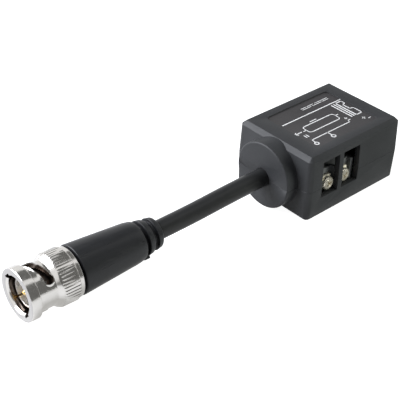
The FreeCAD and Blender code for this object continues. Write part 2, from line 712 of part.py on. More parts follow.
def make_small_parts():
    """The surge suppressor, lying along X on its bent leads, and the upright disc capacitor."""
    along_x = Rotation(Vector(0, 1, 0), 90)
    axis_height = f"{BOARD_TOP} + suppressor_rise"
    middle = f"{BOARD_END} - suppressor_end"
    side_y = f"-({BOARD_SIDE} - suppressor_inset)"
    reach = "(suppressor_length / 2 + suppressor_reach)"
    shapes = [
        cylinder("SuppressorBody", "suppressor_radius", "suppressor_length",
                 f"{middle} - suppressor_length / 2", side_y, axis_height, along_x),
        cylinder("SuppressorWire", "lead_radius", f"2 * {reach}",
                 f"{middle} - {reach}", side_y, axis_height, along_x),
    ]
    for end in (-1, 1):
        shapes.append(cylinder(
            "SuppressorLead", "lead_radius", "suppressor_rise + lead_radius",
            f"{middle} + {end} * ({reach} - lead_radius)", side_y, BOARD_TOP,
        ))
    fuse("surge_suppressor", shapes)
    across = f"{CASE_X} - capacitor_offset"
    shapes = [
        cylinder("CapacitorDisc", "capacitor_radius", "capacitor_thickness",
                 f"{across} - capacitor_thickness / 2", "capacitor_y",
                 f"{BOARD_TOP} + capacitor_stand + capacitor_radius", along_x),
    ]
    for side in (-1, 1):
        shapes.append(cylinder(
            "CapacitorLead", "lead_radius", "capacitor_stand + capacitor_radius",
            across, f"capacitor_y + {side} * lead_spacing / 2", BOARD_TOP,
        ))
    fuse("filter_capacitor", shapes)


def bared_wire(name, start, radius):
    """A bared wire from the jacket's end, bent down on to the board."""
    bend = value("wire_bend")
    corner = start + Vector(value("stripped_wire"), 0, 0)
    down = corner + Vector(bend, 0, -bend)
    middle = corner + Vector(bend * math.sin(math.pi / 4), 0, bend * (math.cos(math.pi / 4) - 1))
    path = Part.Wire([
        Part.LineSegment(start, corner).toShape(),
        Part.Arc(corner, middle, down).toShape(),
        Part.LineSegment(down, Vector(down.x, down.y, value(BOARD_TOP))).toShape(),
    ])
    add_tube(name, path, value(radius))


def add_tube(name, path, radius):
    """A round solid along a path of straight runs and tangent arcs, checked against its length."""
    start = path.Edges[0]
    direction = start.tangentAt(start.FirstParameter)
    ring = Part.Wire([Part.Circle(start.valueAt(start.FirstParameter), direction, radius).toShape()])
    solid = path.makePipeShell([ring], True, False)
    expected = math.pi * radius ** 2 * path.Length
    if abs(solid.Volume - expected) > 0.01 * expected:
        raise RuntimeError(f"{name}: volume {solid.Volume:.2f} against {expected:.2f}")
    item = doc.addObject("Part::Feature", name)
    item.Shape = solid
    item.Label = name
    pieces.append(item)


def lead_path(points):
    """Straight runs joined by arcs as large as the runs allow. Prints each radius."""
    starts = [points[0]]
    edges = []
    for before, point, after in zip(points, points[1:], points[2:]):
        turn = (point - before).getAngle(after - point)
        reach = LEAD_BEND * min((point - before).Length, (after - point).Length)
        radius = reach / math.tan(turn / 2)
        print(f"lead bend at {point.x:.1f}: turn {math.degrees(turn):.1f} degrees, radius {radius:.0f} mm")
        enter = point + (before - point).normalize() * reach
        leave = point + (after - point).normalize() * reach
        inwards = ((enter + leave) * 0.5 - point).normalize()
        middle = point + inwards * (radius / math.cos(turn / 2) - radius)
        edges.append(Part.LineSegment(starts[-1], enter).toShape())
        edges.append(Part.Arc(enter, middle, leave).toShape())
        starts.append(leave)
    edges.append(Part.LineSegment(starts[-1], points[-1]).toShape())
    return Part.Wire(edges)


def lead_route():
    """The points of the lead's route."""
    leaves = Vector(value(NOSE_FACE), 0, value("parting_height"))
    return [leaves + step for step in LEAD_STEPS]


def make_lead():
    """The coax lead, its stripped end in the case and the collar that holds it there."""
    route = lead_route()
    add_tube("cable", lead_path(route), value("cable_radius"))
    collar = new_body("cable_collar")
    rings = new_sketch(collar, "YZ_Plane", f"{NOSE_FACE} + nose_wall + collar_gap")
    add_circle(rings, "0", "parting_height", "collar_radius")
    add_circle(rings, "0", "parting_height", "cable_radius + cable_clearance")
    pad(collar, rings, "collar_length")
    start = route[0]
    along_x = Placement(start, Rotation(Vector(0, 1, 0), 90))
    bore = "conductor_radius + conductor_clearance"
    turned(
        "coax_dielectric_end",
        [(bore, "0"), ("coax_core_radius", "0"), ("coax_core_radius", "stripped_core"),
         (bore, "stripped_core")],
        along_x,
    )
    bared_wire("coax_conductor_end", start, "conductor_radius")
    bared_wire("coax_screen_end", start + Vector(0, value("screen_offset"), 0), "screen_radius")


def plug_placement():
    """The plug's frame: Z runs back along the lead's last run, X to the side and Y up."""
    route = lead_route()
    back = (route[-2] - route[-1]).normalize()
    side = Vector(0, 0, 1).cross(back).normalize()
    up = back.cross(side)
    front = route[-1] - back * value("cable_entry")
    return Placement(Matrix(
        side.x, up.x, back.x, front.x,
        side.y, up.y, back.y, front.y,
        side.z, up.z, back.z, front.z,
        0, 0, 0, 1,
    ))


def make_coupling_nut(plug):
    """The coupling ring: turned, then grooved, slotted and knurled."""
    roll = Placement(Vector(), Rotation(Vector(0, 0, 1), value("slot_roll")))
    groove_front = f"{RING_START} - ring_clearance"
    groove_back = f"{RING_START} + ring_thickness + ring_clearance"
    groove_radius = f"{RING_OUTER} + ring_clearance"
    notch = "(sleeve_radius - notch_wall)"
    nut = turned(
        "coupling_nut",
        [("nut_bore + mouth_chamfer", "0"), ("rim_radius - rim_edge", "0"), ("rim_radius", "rim_edge"),
         ("rim_radius", "rim_length - rim_edge"), ("rim_radius - rim_edge", "rim_length"),
         ("sleeve_radius", "rim_length"), ("sleeve_radius", "shoulder_start"),
         ("shoulder_radius", "shoulder_end"), ("knurl_radius", "knurl_start"),
         ("knurl_radius", "knurl_end"), ("rear_radius", "knurl_end + rim_edge"),
         ("rear_radius", "nut_length - rim_edge"), ("rear_radius - rim_edge", "nut_length"),
         ("chamber_radius", "nut_length"), ("chamber_radius", groove_back),
         (groove_radius, groove_back), (groove_radius, groove_front), ("chamber_radius", groove_front),
         ("chamber_radius", "chamber_start"), ("nut_bore", "chamber_start"),
         ("nut_bore", "mouth_chamfer")],
        plug * roll,
    )
    entry = new_sketch(nut, "XY_Plane", "0")
    add_rectangle(entry, f"-{notch}", "-slot_width / 2", notch, "slot_width / 2")
    pocket(nut, entry, "slot_start + slot_width", backwards=True)
    for side in (-1, 1):
        ramp = new_sketch(nut, "XZ_Plane", "0")
        inner = f"{side} * (nut_bore - cut_margin)"
        outer = f"{side} * (rim_radius - rim_edge)"
        add_rectangle(ramp, inner, "slot_start", outer, "slot_start + slot_width")
        before = nut.Shape.Volume
        slot = nut.newObject("PartDesign::SubtractiveHelix", "RampSlot")
        slot.Profile = ramp
        slot.ReferenceAxis = (origin_feature(nut, "Z_Axis"), [""])
        slot.Mode = "pitch-height-angle"
        bind(slot, "Pitch", "4 * slot_rise")
        bind(slot, "Height", "slot_rise")
        slot.Angle = 0
        doc.recompute()
        if not nut.Shape.Volume < before:
            raise RuntimeError("coupling_nut: a ramp slot cuts nothing")
    ends = new_sketch(nut, "XZ_Plane", "0")
    add_circle(ends, "0", "slot_start + slot_width / 2 + slot_rise", "slot_end_radius")
    pocket(nut, ends, "4 * rim_radius", both_ways=True)
    groove = new_sketch(nut, "XY_Plane", "knurl_start")
    add_polygon(
        groove,
        [("knurl_radius - knurl_depth", "0"), ("knurl_radius + knurl_depth", "-knurl_width"),
         ("knurl_radius + knurl_depth", "knurl_width")],
    )
    around(nut, pocket(nut, groove, "knurl_end - knurl_start", backwards=True), "knurl_count")


def make_plug():
    """The bayonet plug, from its contact sleeve to the boot."""
    plug = plug_placement()
    flange_radius = "chamber_radius - flange_gap"
    turned(
        "plug_body",
        [(f"{SEAT_RADIUS} + press_clearance", "flange_start"), (flange_radius, "flange_start"),
         (flange_radius, FLANGE_END), ("neck_radius", FLANGE_END), ("neck_radius", "stem_start"),
         ("stem_radius", "stem_start"), ("stem_radius", "stem_end"), (STEM_BORE, "stem_end"),
         (STEM_BORE, BORE_END), ("body_bore", BORE_END), ("body_bore", CONTACT_END),
         (f"{SEAT_RADIUS} + press_clearance", CONTACT_END)],
        plug,
    )
    contact = turned(
        "contact_sleeve",
        [("contact_bore", "contact_start"), ("contact_radius - contact_edge", "contact_start"),
         ("contact_radius", "contact_start + contact_edge"), ("contact_radius", "contact_wall_end"),
         (SEAT_RADIUS, "contact_wall_end"), (SEAT_RADIUS, CONTACT_END), ("contact_bore", CONTACT_END)],
        plug,
    )
    finger_gap = new_sketch(contact, "XY_Plane", "contact_start")
    bind(finger_gap, "AttachmentOffset.Rotation.Angle", "contact_roll")
    add_rectangle(
        finger_gap, "contact_bore - cut_margin", "-contact_slot / 2",
        "contact_radius + cut_margin", "contact_slot / 2",
    )
    around(contact, pocket(contact, finger_gap, "contact_slot_length", backwards=True), "contact_slots")

    front_radius = "contact_bore - insulator_clearance"
    rear_radius = "body_bore - insulator_clearance"
    rear_end = f"{BORE_END} - insulator_clearance"
    turned(
        "plug_insulator",
        [("pin_radius + pin_clearance", "insulator_start"), (front_radius, "insulator_start"),
         (front_radius, CONTACT_END), (rear_radius, CONTACT_END), (rear_radius, rear_end),
         ("pin_rear_radius + pin_clearance", rear_end),
         ("pin_rear_radius + pin_clearance", "pin_shoulder"), ("pin_radius + pin_clearance", "pin_shoulder")],
        plug,
    )
    turned(
        "centre_pin",
        [("0", "pin_start"), ("pin_tip_radius", "pin_start"), ("pin_radius", "pin_start + pin_tip"),
         ("pin_radius", "pin_shoulder"), ("pin_rear_radius", "pin_shoulder"),
         ("pin_rear_radius", BORE_END), ("0", BORE_END)],
        plug,
    )
    turned(
        "coax_core_front",
        [("0", BORE_END), ("coax_core_radius", BORE_END),
         ("coax_core_radius", "cable_entry"), ("0", "cable_entry")],
        plug,
    )
    ferrule_bore = "stem_radius + ferrule_clearance"
    ferrule_start = "stem_start + ferrule_gap"
    turned(
        "crimp_ferrule",
        [(ferrule_bore, ferrule_start), ("ferrule_radius", ferrule_start),
         ("ferrule_radius", "cable_entry"), (ferrule_bore, "cable_entry")],
        plug,
    )
    gasket_bore = f"{SEAT_RADIUS} + gasket_clearance"
    gasket_radius = "nut_bore - gasket_gap"
    gasket_front = "flange_start - gasket_length"
    turned(
        "front_gasket",
        [(gasket_bore, gasket_front), (gasket_radius, gasket_front), (gasket_radius, "flange_start"),
         (gasket_bore, "flange_start")],
        plug,
    )
    turned(
        "spring_washer",
        [(SPRING_INNER, FLANGE_END), (f"{SPRING_INNER} + spring_face", FLANGE_END),
         (SPRING_OUTER, THRUST_START), (f"{SPRING_OUTER} - spring_face", THRUST_START)],
        plug,
    )
    turned(
        "thrust_washer",
        [(SPRING_INNER, THRUST_START), (SPRING_OUTER, THRUST_START), (SPRING_OUTER, RING_START),
         (SPRING_INNER, RING_START)],
        plug,
    )
    ring_end = f"{RING_START} + ring_thickness"
    ring_inner = f"{RING_OUTER} - ring_width"
    turned(
        "retaining_ring",
        [(ring_inner, RING_START), (RING_OUTER, RING_START), (RING_OUTER, ring_end), (ring_inner, ring_end)],
        plug,
        angle="ring_angle",
    )
    make_coupling_nut(plug)
    make_boot(plug)


def make_boot(plug):
    """The moulded boot: a long cone, a steeper shoulder and two relief rings."""
    ring_start = "boot_shoulder_end + boot_groove"
    ring_end = f"{ring_start} + boot_ring_length"
    tail_start = f"{ring_end} + boot_tail_groove"
    tail_end = f"{tail_start} + boot_tail_length"
    metal_bore = "ferrule_radius + boot_clearance"
    neck_bore = "neck_radius + boot_clearance"
    cable_bore = "cable_radius + cable_clearance"
    turned(
        "plug_boot",
        [(neck_bore, "boot_start"), ("boot_radius - boot_edge", "boot_start"),
         ("boot_radius", "boot_start + boot_edge"), ("boot_cone_radius", "boot_cone_end"),
         ("boot_shoulder_radius", "boot_shoulder_end"), ("boot_root", "boot_shoulder_end"),
         ("boot_root", ring_start), ("boot_ring_radius", ring_start),
         ("boot_ring_radius - boot_ring_taper", ring_end), ("boot_root", ring_end),
         ("boot_root", tail_start), ("boot_tail_radius", tail_start),
         ("boot_tail_radius - boot_tail_taper", tail_end), (cable_bore, tail_end),
         (cable_bore, "cable_entry"), (metal_bore, "cable_entry"),
         (metal_bore, "stem_start + boot_clearance"), (neck_bore, "stem_start + boot_clearance")],
        plug,
    )


def check_pieces():
    """Stop on a failed feature or a bad shape before anything is written."""
    doc.recompute()
    for item in doc.Objects:
        if "Invalid" in item.State or "Error" in item.State:
            raise RuntimeError(f"{item.Label}: {item.State}")
    for piece in pieces:
        shape = piece.Shape
        if shape.isNull() or not shape.isValid() or len(shape.Solids) != 1:
            raise RuntimeError(f"{piece.Label}: bad shape")


def export_pieces():
    """One STEP file for each piece, named after it."""
    os.makedirs("parts", exist_ok=True)
    for piece in pieces:
        piece.Shape.exportStep(f"parts/{piece.Label}.step")
    print(f"{len(pieces)} pieces")


make_case()
make_board()
make_terminals()
make_transformer()
make_small_parts()
make_lead()
make_plug()
check_pieces()
export_pieces()
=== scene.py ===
import math

import bmesh
import bpy
from bpy.props import FloatProperty, FloatVectorProperty, IntProperty, PointerProperty
from bpy.types import Operator, Panel, PropertyGroup
from mathutils import Matrix, Quaternion, Vector


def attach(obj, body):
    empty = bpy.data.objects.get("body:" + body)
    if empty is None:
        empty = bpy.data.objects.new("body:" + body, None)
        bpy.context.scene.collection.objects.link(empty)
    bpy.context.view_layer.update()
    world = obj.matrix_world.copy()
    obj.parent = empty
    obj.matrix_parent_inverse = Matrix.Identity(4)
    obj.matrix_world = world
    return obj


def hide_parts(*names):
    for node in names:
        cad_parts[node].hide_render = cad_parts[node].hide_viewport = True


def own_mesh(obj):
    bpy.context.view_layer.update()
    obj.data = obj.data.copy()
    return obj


bl_info = {
    "name": "Video balun",
    "version": (1, 0, 0),
    "blender": (4, 5, 0),
    "location": "3D View > Sidebar > Balun",
    "description": "Dresses the packed video balun: its case, terminals, lead and bayonet plug",
    "category": "Object",
}

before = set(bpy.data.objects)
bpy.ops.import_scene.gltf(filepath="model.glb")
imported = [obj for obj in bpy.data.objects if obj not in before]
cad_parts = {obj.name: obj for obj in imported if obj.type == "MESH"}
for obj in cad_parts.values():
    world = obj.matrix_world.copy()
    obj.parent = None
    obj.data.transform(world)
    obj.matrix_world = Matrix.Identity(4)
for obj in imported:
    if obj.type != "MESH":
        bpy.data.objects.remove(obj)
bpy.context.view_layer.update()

# One millimetre in the scene's metres. Pieces are modelled in millimetres and scaled once.
MM = 0.001
TO_METRES = Matrix.Scale(MM, 4)
FULL_TURN = 2 * math.pi

# The lead's route, in metres: from inside the case out through the nose and down to the plug.
LEAD_ROUTE = (
    Vector((-0.01125, 0.0, 0.0098)),
    Vector((-0.0314, 0.0, 0.0098)),
    Vector((-0.05155, 0.00216, 0.00675)),
    Vector((-0.07175, 0.00248, 0.00709)),
)
# In millimetres: how thick the lead is, and its end's station behind the plug's front.
LEAD_DIAMETER = 5.5
LEAD_END_STATION = 30.0

# The coupling ring's neck and knurl, in millimetres. Its steps and columns are counted.
NECK_RADIUS = 6.15
NECK_START = 3.05
NECK_END = 8.1
NECK_STEPS = 34
KNURL_RADIUS = 7.35
KNURL_DEPTH = 0.16
KNURL_START = 9.8
KNURL_END = 14.0
COLUMNS_TO_A_GROOVE = 6
# How near a vertex lies to the neck's or the knurl's radius to count as on it, in millimetres.
ON_RADIUS = 0.02

# The ring's ramp slots, their end holes and lips and its entry grooves, in millimetres, and how far the
# ring is turned, in degrees.
SLOT_START = 3.2
SLOT_WIDTH = 2.3
SLOT_RISE = 2.35
SLOT_RADII = (4.0, 6.95)
SLOT_STEPS = 48
SLOT_ROLL = 43.0
END_HOLE = 1.3
HOLE_DEPTH = 16.0
ENTRY_RADIUS = 5.83
ENTRY_LEAD = 1.0
LIP_REACH = 0.3

# Painted shade: inside the ring and the contact, between two radii and behind a station, in millimetres, the
# plating is painted a dull dark brown that stands in for the shade in these hollows.
RING_PAINTED_SHADE = (0.0, 6.05, 0.8)
CONTACT_PAINTED_SHADE = (3.9, 4.2, 2.5)
PAINTED_SHADE_TONE = (0.17, 0.14, 0.12, 1)
# Painted shade: the ring's front face, up to a station, is painted a little darker than its turned sides, to
# tone down the bright reflection it shows.
FACE_SHADE_STATION = 0.1
FACE_SHADE_TONE = (0.50, 0.49, 0.485, 1)

# The web between the boot and its first ring: radii, stations, width, and where it stands in degrees.
WEB_RADII = (3.5, 5.75)
WEB_STATIONS = (36.3, 37.95)
WEB_WIDTH = 1.1
WEB_ROLL = -137.0

# The dished spring, in millimetres: where it stands, how high, its rims and how far it is pressed.
SPRING_FOOT = 11.2
SPRING_HEIGHT = 1.4
SPRING_INNER = 4.0
SPRING_OUTER = 5.6
SPRING_FACE = 0.35

# The slits between the contact's four fingers, in millimetres, and where they stand, in degrees.
CONTACT_FRONT = 1.9
FINGER_LENGTH = 5.0
SLIT_LEAD = 0.5
SLIT_WIDTH = 0.5
SLIT_REACH = 9.0
SLIT_ANGLES = (45, 135)

# Sections of the plug's turned pieces: radius, station and rounding, in millimetres.
RING_FRONT = [(5.5, 0, 0.12), (7.25, 0, 0.3), (7.25, 2.9, 0.3), (NECK_RADIUS, 2.9, 0.1)]
RING_BACK = [
    (7.0, 9.1, 0.25), (KNURL_RADIUS, KNURL_START, 0), (KNURL_RADIUS, KNURL_END, 0),
    (7.0, KNURL_END + 0.3, 0.08), (7.0, 15.5, 0.3), (5.8, 15.5, 0.12), (5.8, 13.95, 0), (6.2, 13.95, 0),
    (6.2, 13.05, 0), (5.8, 13.05, 0), (5.8, 9.6, 0), (4.9, 9.6, 0), (4.9, 0.6, 0.25),
]
CONTACT_CORNERS = [
    (3.45, CONTACT_FRONT, 0.05), (4.05, CONTACT_FRONT, 0.15), (4.05, 8.7, 0.05), (3.8, 8.7, 0),
    (3.8, 10.6, 0), (3.45, 10.6, 0),
]
INSULATOR_CORNERS = [
    (0.715, 5.5, 0.08), (3.4, 5.5, 0.2), (3.4, 10.6, 0), (2.85, 10.6, 0), (2.85, 18.95, 0),
    (1.04, 18.95, 0), (1.04, 12.0, 0), (0.715, 12.0, 0),
]
PIN_CORNERS = [
    (0, 1.7, 0), (0.34, 1.7, 0.12), (0.675, 2.3, 0.2), (0.675, 12.0, 0), (1.0, 12.0, 0.05), (1.0, 19.0, 0),
    (0, 19.0, 0),
]
BOOT_CORNERS = [
    (3.85, 16.2, 0), (7.0, 16.2, 0.4), (5.85, 34.6, 1.0), (5.45, 36.5, 0.3), (3.7, 36.5, 0.1),
    (3.7, 37.8, 0.1), (5.12, 37.8, 0.25), (4.85, 39.5, 0.25), (3.7, 39.5, 0.1), (3.7, 41.0, 0.1),
    (4.64, 41.0, 0.22), (4.33, 42.7, 0.3), (2.78, 42.7, 0.1), (2.78, 30.0, 0), (3.45, 30.0, 0),
    (3.45, 20.45, 0), (3.85, 20.45, 0),
]

# The middle of each screw's seat, in millimetres, and how far its recess is turned, in degrees.
SCREW_CENTRES = ((-7.88, -12.3, 8.85), (-0.98, -12.3, 8.85))
SCREW_TURNS = (28.0, 62.0)
# The screws, in millimetres: the head, the threaded shank and the cross recess.
HEAD_TOP = 1.55
HEAD_FOOT = 0.03
HEAD_RADIUS = 2.1
SHANK_RADIUS = 1.25
THREAD_START = -0.3
THREAD_PITCH = 0.45
THREAD_ROOT = 1.02
SHANK_TIP = [(1.0, -6.1, 0), (0.75, -6.3, 0), (0, -6.3, 0)]
RECESS_SIZE = (3.0, 0.62, 1.8)
RECESS_TAPER = (0.45, 0.7)

# Where the two shells meet, in millimetres from the floor.
PARTING_HEIGHT = 9.8
# What lies beyond these there is the outside of the case and its nose, in millimetres.
CASE_FRONT = -16.8
CASE_BACK = 20.6
CASE_SIDE = 14.2
NOSE_ROOT = -17.6
NOSE_FRONT = -21.0
NOSE_SIDE = 9.9
LEAD_HOLE = 3.5
# Edges that turn more than these angles are a seam's, or are rounded, in degrees.
SEAM_ANGLE = 60.0
CASE_ANGLE = 24.0

# The stage, in metres: the floor, and each dark card's name, place, size and turn about X.
FLOOR_SIZE = (4.0, 4.0)
CARDS = (
    ("front_card", (0.15, -0.70, 0.72), (2.6, 1.44), math.radians(90)),
    ("top_card", (0.25, 0.36, 0.80), (1.8, 0.88), 0),
    ("side_card", (0.116, -0.166, 0.0004), (0.268, 0.30), 0),
)
# The softboxes' places, sizes and colours, and the point that they face.
KEY_BOX = ((-0.32, 0.30, 0.29), (0.46, 0.46), (0.96, 0.98, 1.04))
FRONT_BOX = ((0.30, -0.50, 0.12), (0.30, 0.20), (0.99, 1.02, 0.95))
LIGHT_AIM = Vector((-0.03, 0, 0.01))

# Between these a noise has nearly all its values.
NOISE_RANGE = (0.3, 0.7)

# The label panel's middle and half its size, in millimetres.
PANEL_MIDDLE = (2.3, 0.0, 20.3)
PANEL_HALF = (13.0, 10.4, 0.1)

# The print, in millimetres from the middle of the case: straight strokes (x, y to x, y and width) and
# arcs (x, y, radius, width and the part of a turn).
CASE_MIDDLE = 1.9
PANEL_HEIGHT = 20.3
PRINT_STROKES = (
    (-11.4, 4.4, 13.7, 4.4, 0.35), (-10.5, -6.3, 5.6, -6.3, 0.3), (-10.5, -6.3, -10.6, -7.5, 0.3),
    (-4.0, -6.3, -4.0, -7.8, 0.3), (5.6, -6.3, 5.6, -5.4, 0.3), (5.6, -5.4, 6.6, -5.4, 0.3),
    (6.1, -4.6, 6.1, -3.9, 0.3), (5.75, -4.25, 6.45, -4.25, 0.3), (4.9, -1.2, 5.9, -1.2, 0.3),
    (-8.9, -1.6, -7.9, -1.6, 0.3), (-12.4, -1.5, -9.8, -1.5, 0.3), (-12.4, -1.5, -11.6, -0.9, 0.3),
    (-12.4, -1.5, -11.6, -2.1, 0.3), (-10.6, -3.4, -10.6, -4.4, 0.3), (-9.8, -3.4, -9.8, -4.4, 0.3),
    (-3.6, 1.0, -1.2, 1.0, 0.3), (8.3, 3.4, 8.3, -4.6, 0.4), (9.3, 3.4, 9.3, -4.6, 0.4),
    (10.5, 3.6, 12.6, 3.6, 0.35), (12.6, 3.6, 12.6, 1.9, 0.35), (12.6, 1.9, 11.4, 1.9, 0.35),
    (11.4, 1.9, 11.4, -1.2, 0.35), (11.4, -1.2, 12.6, -1.2, 0.35), (12.6, -1.2, 12.6, -4.8, 0.35),
    (12.6, -4.8, 10.5, -4.8, 0.35), (10.2, 3.0, 10.2, -4.4, 0.45),
    (-6.9, 0.1, 3.9, 0.1, 0.32), (-6.9, -3.3, 3.9, -3.3, 0.32), (-7.9, -0.9, -7.9, -2.3, 0.32),
    (4.9, -0.9, 4.9, -2.3, 0.32),
    (10.0, -7.3, 11.0, -7.3, 0.25), (10.5, -6.8, 10.5, -7.8, 0.25), (11.6, -8.3, 12.4, -8.3, 0.25),
    (-0.4, 7.7, 1.6, 7.7, 0.2), (2.2, 7.7, 4.6, 7.7, 0.2), (5.4, 7.7, 10.6, 7.7, 0.2),
    (-0.4, 7.0, 3.2, 7.0, 0.2), (3.9, 7.0, 7.6, 7.0, 0.2), (8.2, 7.0, 10.6, 7.0, 0.2),
)
PRINT_ARCS = (
    (-10.7, -8.4, 0.62, 0.34, (0, 1)), (-4.0, -8.65, 0.62, 0.34, (0, 1)),
    (-6.9, -0.9, 1.0, 0.32, (0.25, 0.5)), (-6.9, -2.3, 1.0, 0.32, (0.5, 0.75)),
    (3.9, -2.3, 1.0, 0.32, (0.75, 1.0)), (3.9, -0.9, 1.0, 0.32, (0, 0.25)),
    (-15.3, -9.9, 0.16, 0.3, (0, 1)), (-14.6, -9.3, 0.12, 0.22, (0, 1)),
)


def plug_matrix():
    """From the plug's own millimetres, with Z running back from its front face, to the frame."""
    back = (LEAD_ROUTE[-2] - LEAD_ROUTE[-1]).normalized()
    side = Vector((0, 0, 1)).cross(back).normalized()
    up = back.cross(side)
    front = LEAD_ROUTE[-1] - back * LEAD_END_STATION * MM
    turn = Matrix((side, up, back)).transposed().to_4x4()
    return Matrix.Translation(front) @ turn @ TO_METRES


PLUG = plug_matrix()


class StageSettings(PropertyGroup):
    """The camera, the light and the floor."""

    place: FloatVectorProperty(
        name="Camera place", description="Where the camera stands", size=3, subtype="TRANSLATION",
        unit="LENGTH", default=(-0.19074, -0.16025, 0.16619),
    )
    azimuth: FloatProperty(
        name="Azimuth", description="Turn of the view round the object", subtype="ANGLE",
        default=math.radians(-42.286),
    )
    elevation: FloatProperty(
        name="Elevation", description="Height of the view above the horizon", subtype="ANGLE",
        default=math.radians(35.377),
    )
    roll: FloatProperty(
        name="Roll", description="Turn of the picture", subtype="ANGLE", default=math.radians(1.732),
    )
    lens: FloatProperty(name="Lens", description="Focal length in millimetres", default=88.17)
    floor_colour: FloatVectorProperty(
        name="Floor", description="Colour of the floor", size=3, subtype="COLOR", default=(0.42, 0.42, 0.42),
    )
    floor_glow: FloatProperty(
        name="Floor glow", description="Light of the floor that adds nothing to the shadows", default=0.94,
    )
    floor_sheen: FloatProperty(
        name="Floor sheen", description="Light of the floor that only reflections see", default=0.46,
    )
    fill: FloatProperty(name="Fill", description="Strength of the even light", default=0.09)
    key: FloatProperty(name="Key", description="Power of the key light, in watts", default=6.5)
    front: FloatProperty(name="Front", description="Power of the low front light, in watts", default=5.2)
    card_colour: FloatVectorProperty(
        name="Cards", description="Colour of the dark cards that the metal reflects", size=3,
        subtype="COLOR", default=(0.17, 0.17, 0.165),
    )


class CaseSettings(PropertyGroup):
    """The moulded case and what is printed on it."""

    edge: FloatProperty(
        name="Edge", description="Rounding of the moulded edges, in millimetres", default=0.16,
    )
    seam: FloatProperty(
        name="Seam", description="Easing of the edge where the shells meet, in millimetres", default=0.12,
    )
    colour: FloatVectorProperty(
        name="Plastic", description="Colour of the case", size=3, subtype="COLOR",
        default=(0.026, 0.027, 0.029),
    )
    panel_colour: FloatVectorProperty(
        name="Panel", description="Colour of the label panel", size=3, subtype="COLOR",
        default=(0.036, 0.034, 0.035),
    )
    ink: FloatVectorProperty(
        name="Ink", description="Colour of the print", size=3, subtype="COLOR", default=(0.74, 0.74, 0.74),
    )
    ink_thickness: FloatProperty(
        name="Ink thickness", description="Thickness of the print, in millimetres", default=0.02,
    )


class TerminalSettings(PropertyGroup):
    """The screw terminals."""

    block_colour: FloatVectorProperty(
        name="Block", description="Colour of the terminal block", size=3, subtype="COLOR",
        default=(0.085, 0.088, 0.09),
    )
    screw_colour: FloatVectorProperty(
        name="Screws", description="Colour of the plated screws", size=3, subtype="COLOR",
        default=(0.88, 0.83, 0.70),
    )
    thread_turns: IntProperty(name="Thread turns", description="Turns of thread on a screw", default=12)


class PlugSettings(PropertyGroup):
    """The bayonet plug and its boot."""

    nickel: FloatVectorProperty(
        name="Nickel", description="Colour of the plating", size=3, subtype="COLOR",
        default=(0.70, 0.685, 0.66),
    )
    gold: FloatVectorProperty(
        name="Gold", description="Colour of the centre pin", size=3, subtype="COLOR",
        default=(0.83, 0.58, 0.20),
    )
    insulator: FloatVectorProperty(
        name="Insulator", description="Colour of the insulator", size=3, subtype="COLOR",
        default=(0.82, 0.81, 0.78),
    )
    boot_colour: FloatVectorProperty(
        name="Boot", description="Colour of the boot", size=3, subtype="COLOR",
        default=(0.016, 0.0165, 0.018),
    )
    jacket_colour: FloatVectorProperty(
        name="Jacket", description="Colour of the lead", size=3, subtype="COLOR",
        default=(0.018, 0.0185, 0.019),
    )
    knurls: IntProperty(name="Knurls", description="Grooves of the knurl", default=48)
    lip: FloatProperty(
        name="Lip", description="Height of the rolled lip round the ramp slots, in millimetres",
        default=0.21,
    )


def feed(tree, socket, value):
    """Link an input to another node's output, or give it a plain value."""
    if isinstance(value, bpy.types.NodeSocket):
        tree.links.new(value, socket)
    else:
        socket.default_value = value


def set_up(tree, node, **values):
    """Give a node its properties, and feed its inputs by name."""
    for name, value in values.items():
        socket = node.inputs.get(name.replace("_", " "))
        if socket is None:
            setattr(node, name, value)
        else:
            feed(tree, socket, value)
    return node


def add_node(tree, kind, **values):
    """A new shader node with its properties and inputs."""
    return set_up(tree, tree.nodes.new(kind), **values)


def calculate(tree, operation, *values, kind="ShaderNodeMath"):
    """What a math node makes of other nodes' outputs or plain values."""
    node = add_node(tree, kind, operation=operation)
    for socket, value in zip(node.inputs, values):
        feed(tree, socket, value)
    return node.outputs[0]


def new_finish(name, colour, roughness, **sockets):
    """A material with one principled shader. Returns the material, its tree and the shader."""
    material = bpy.data.materials.new(name)
    material.use_nodes = True
    tree = material.node_tree
    shader = set_up(
        tree, tree.nodes["Principled BSDF"], Base_Color=(*colour, 1), Roughness=roughness, **sockets,
    )
    return material, tree, shader


def millimetres(tree, place=TO_METRES):
    """Object coordinates as the millimetres of a piece's own frame."""
    coordinates = tree.nodes.new("ShaderNodeTexCoord")
    inverse = place.inverted()
    mapping = add_node(
        tree, "ShaderNodeMapping", Vector=coordinates.outputs["Object"], Scale=(1 / MM,) * 3,
        Location=inverse.to_translation(), Rotation=inverse.to_quaternion().to_euler(),
    )
    return mapping.outputs["Vector"]


def noise(tree, vector, scale, detail=2.0):
    """A noise texture of the given scale, in turns to the millimetre."""
    texture = add_node(tree, "ShaderNodeTexNoise", Vector=vector, Scale=scale, Detail=detail)
    return texture.outputs["Fac"]


def ramp(tree, value, low, high):
    """A noise's usual range stretched from low to high."""
    start, end = NOISE_RANGE
    node = add_node(
        tree, "ShaderNodeMapRange", Value=value, From_Min=start, From_Max=end, To_Min=low, To_Max=high,
    )
    return node.outputs["Result"]


def scaled(colour, factor):
    """A colour made darker or lighter."""
    return tuple(min(1.0, channel * factor) for channel in colour)


def shades(tree, value, colour, dark, light):
    """A colour that a value takes from dark to light."""
    node = add_node(tree, "ShaderNodeValToRGB", Fac=value)
    for element, factor in zip(node.color_ramp.elements, (dark, light)):
        element.color = (*scaled(colour, factor), 1)
    return node.outputs["Color"]


def blend(tree, share, first, second):
    """Two colours mixed by a share."""
    mix = add_node(tree, "ShaderNodeMix", data_type="RGBA", Factor=share)
    colours = [socket for socket in mix.inputs if socket.type == "RGBA"]
    for socket, colour in zip(colours, (first, second)):
        feed(tree, socket, colour)
    return next(socket for socket in mix.outputs if socket.type == "RGBA")


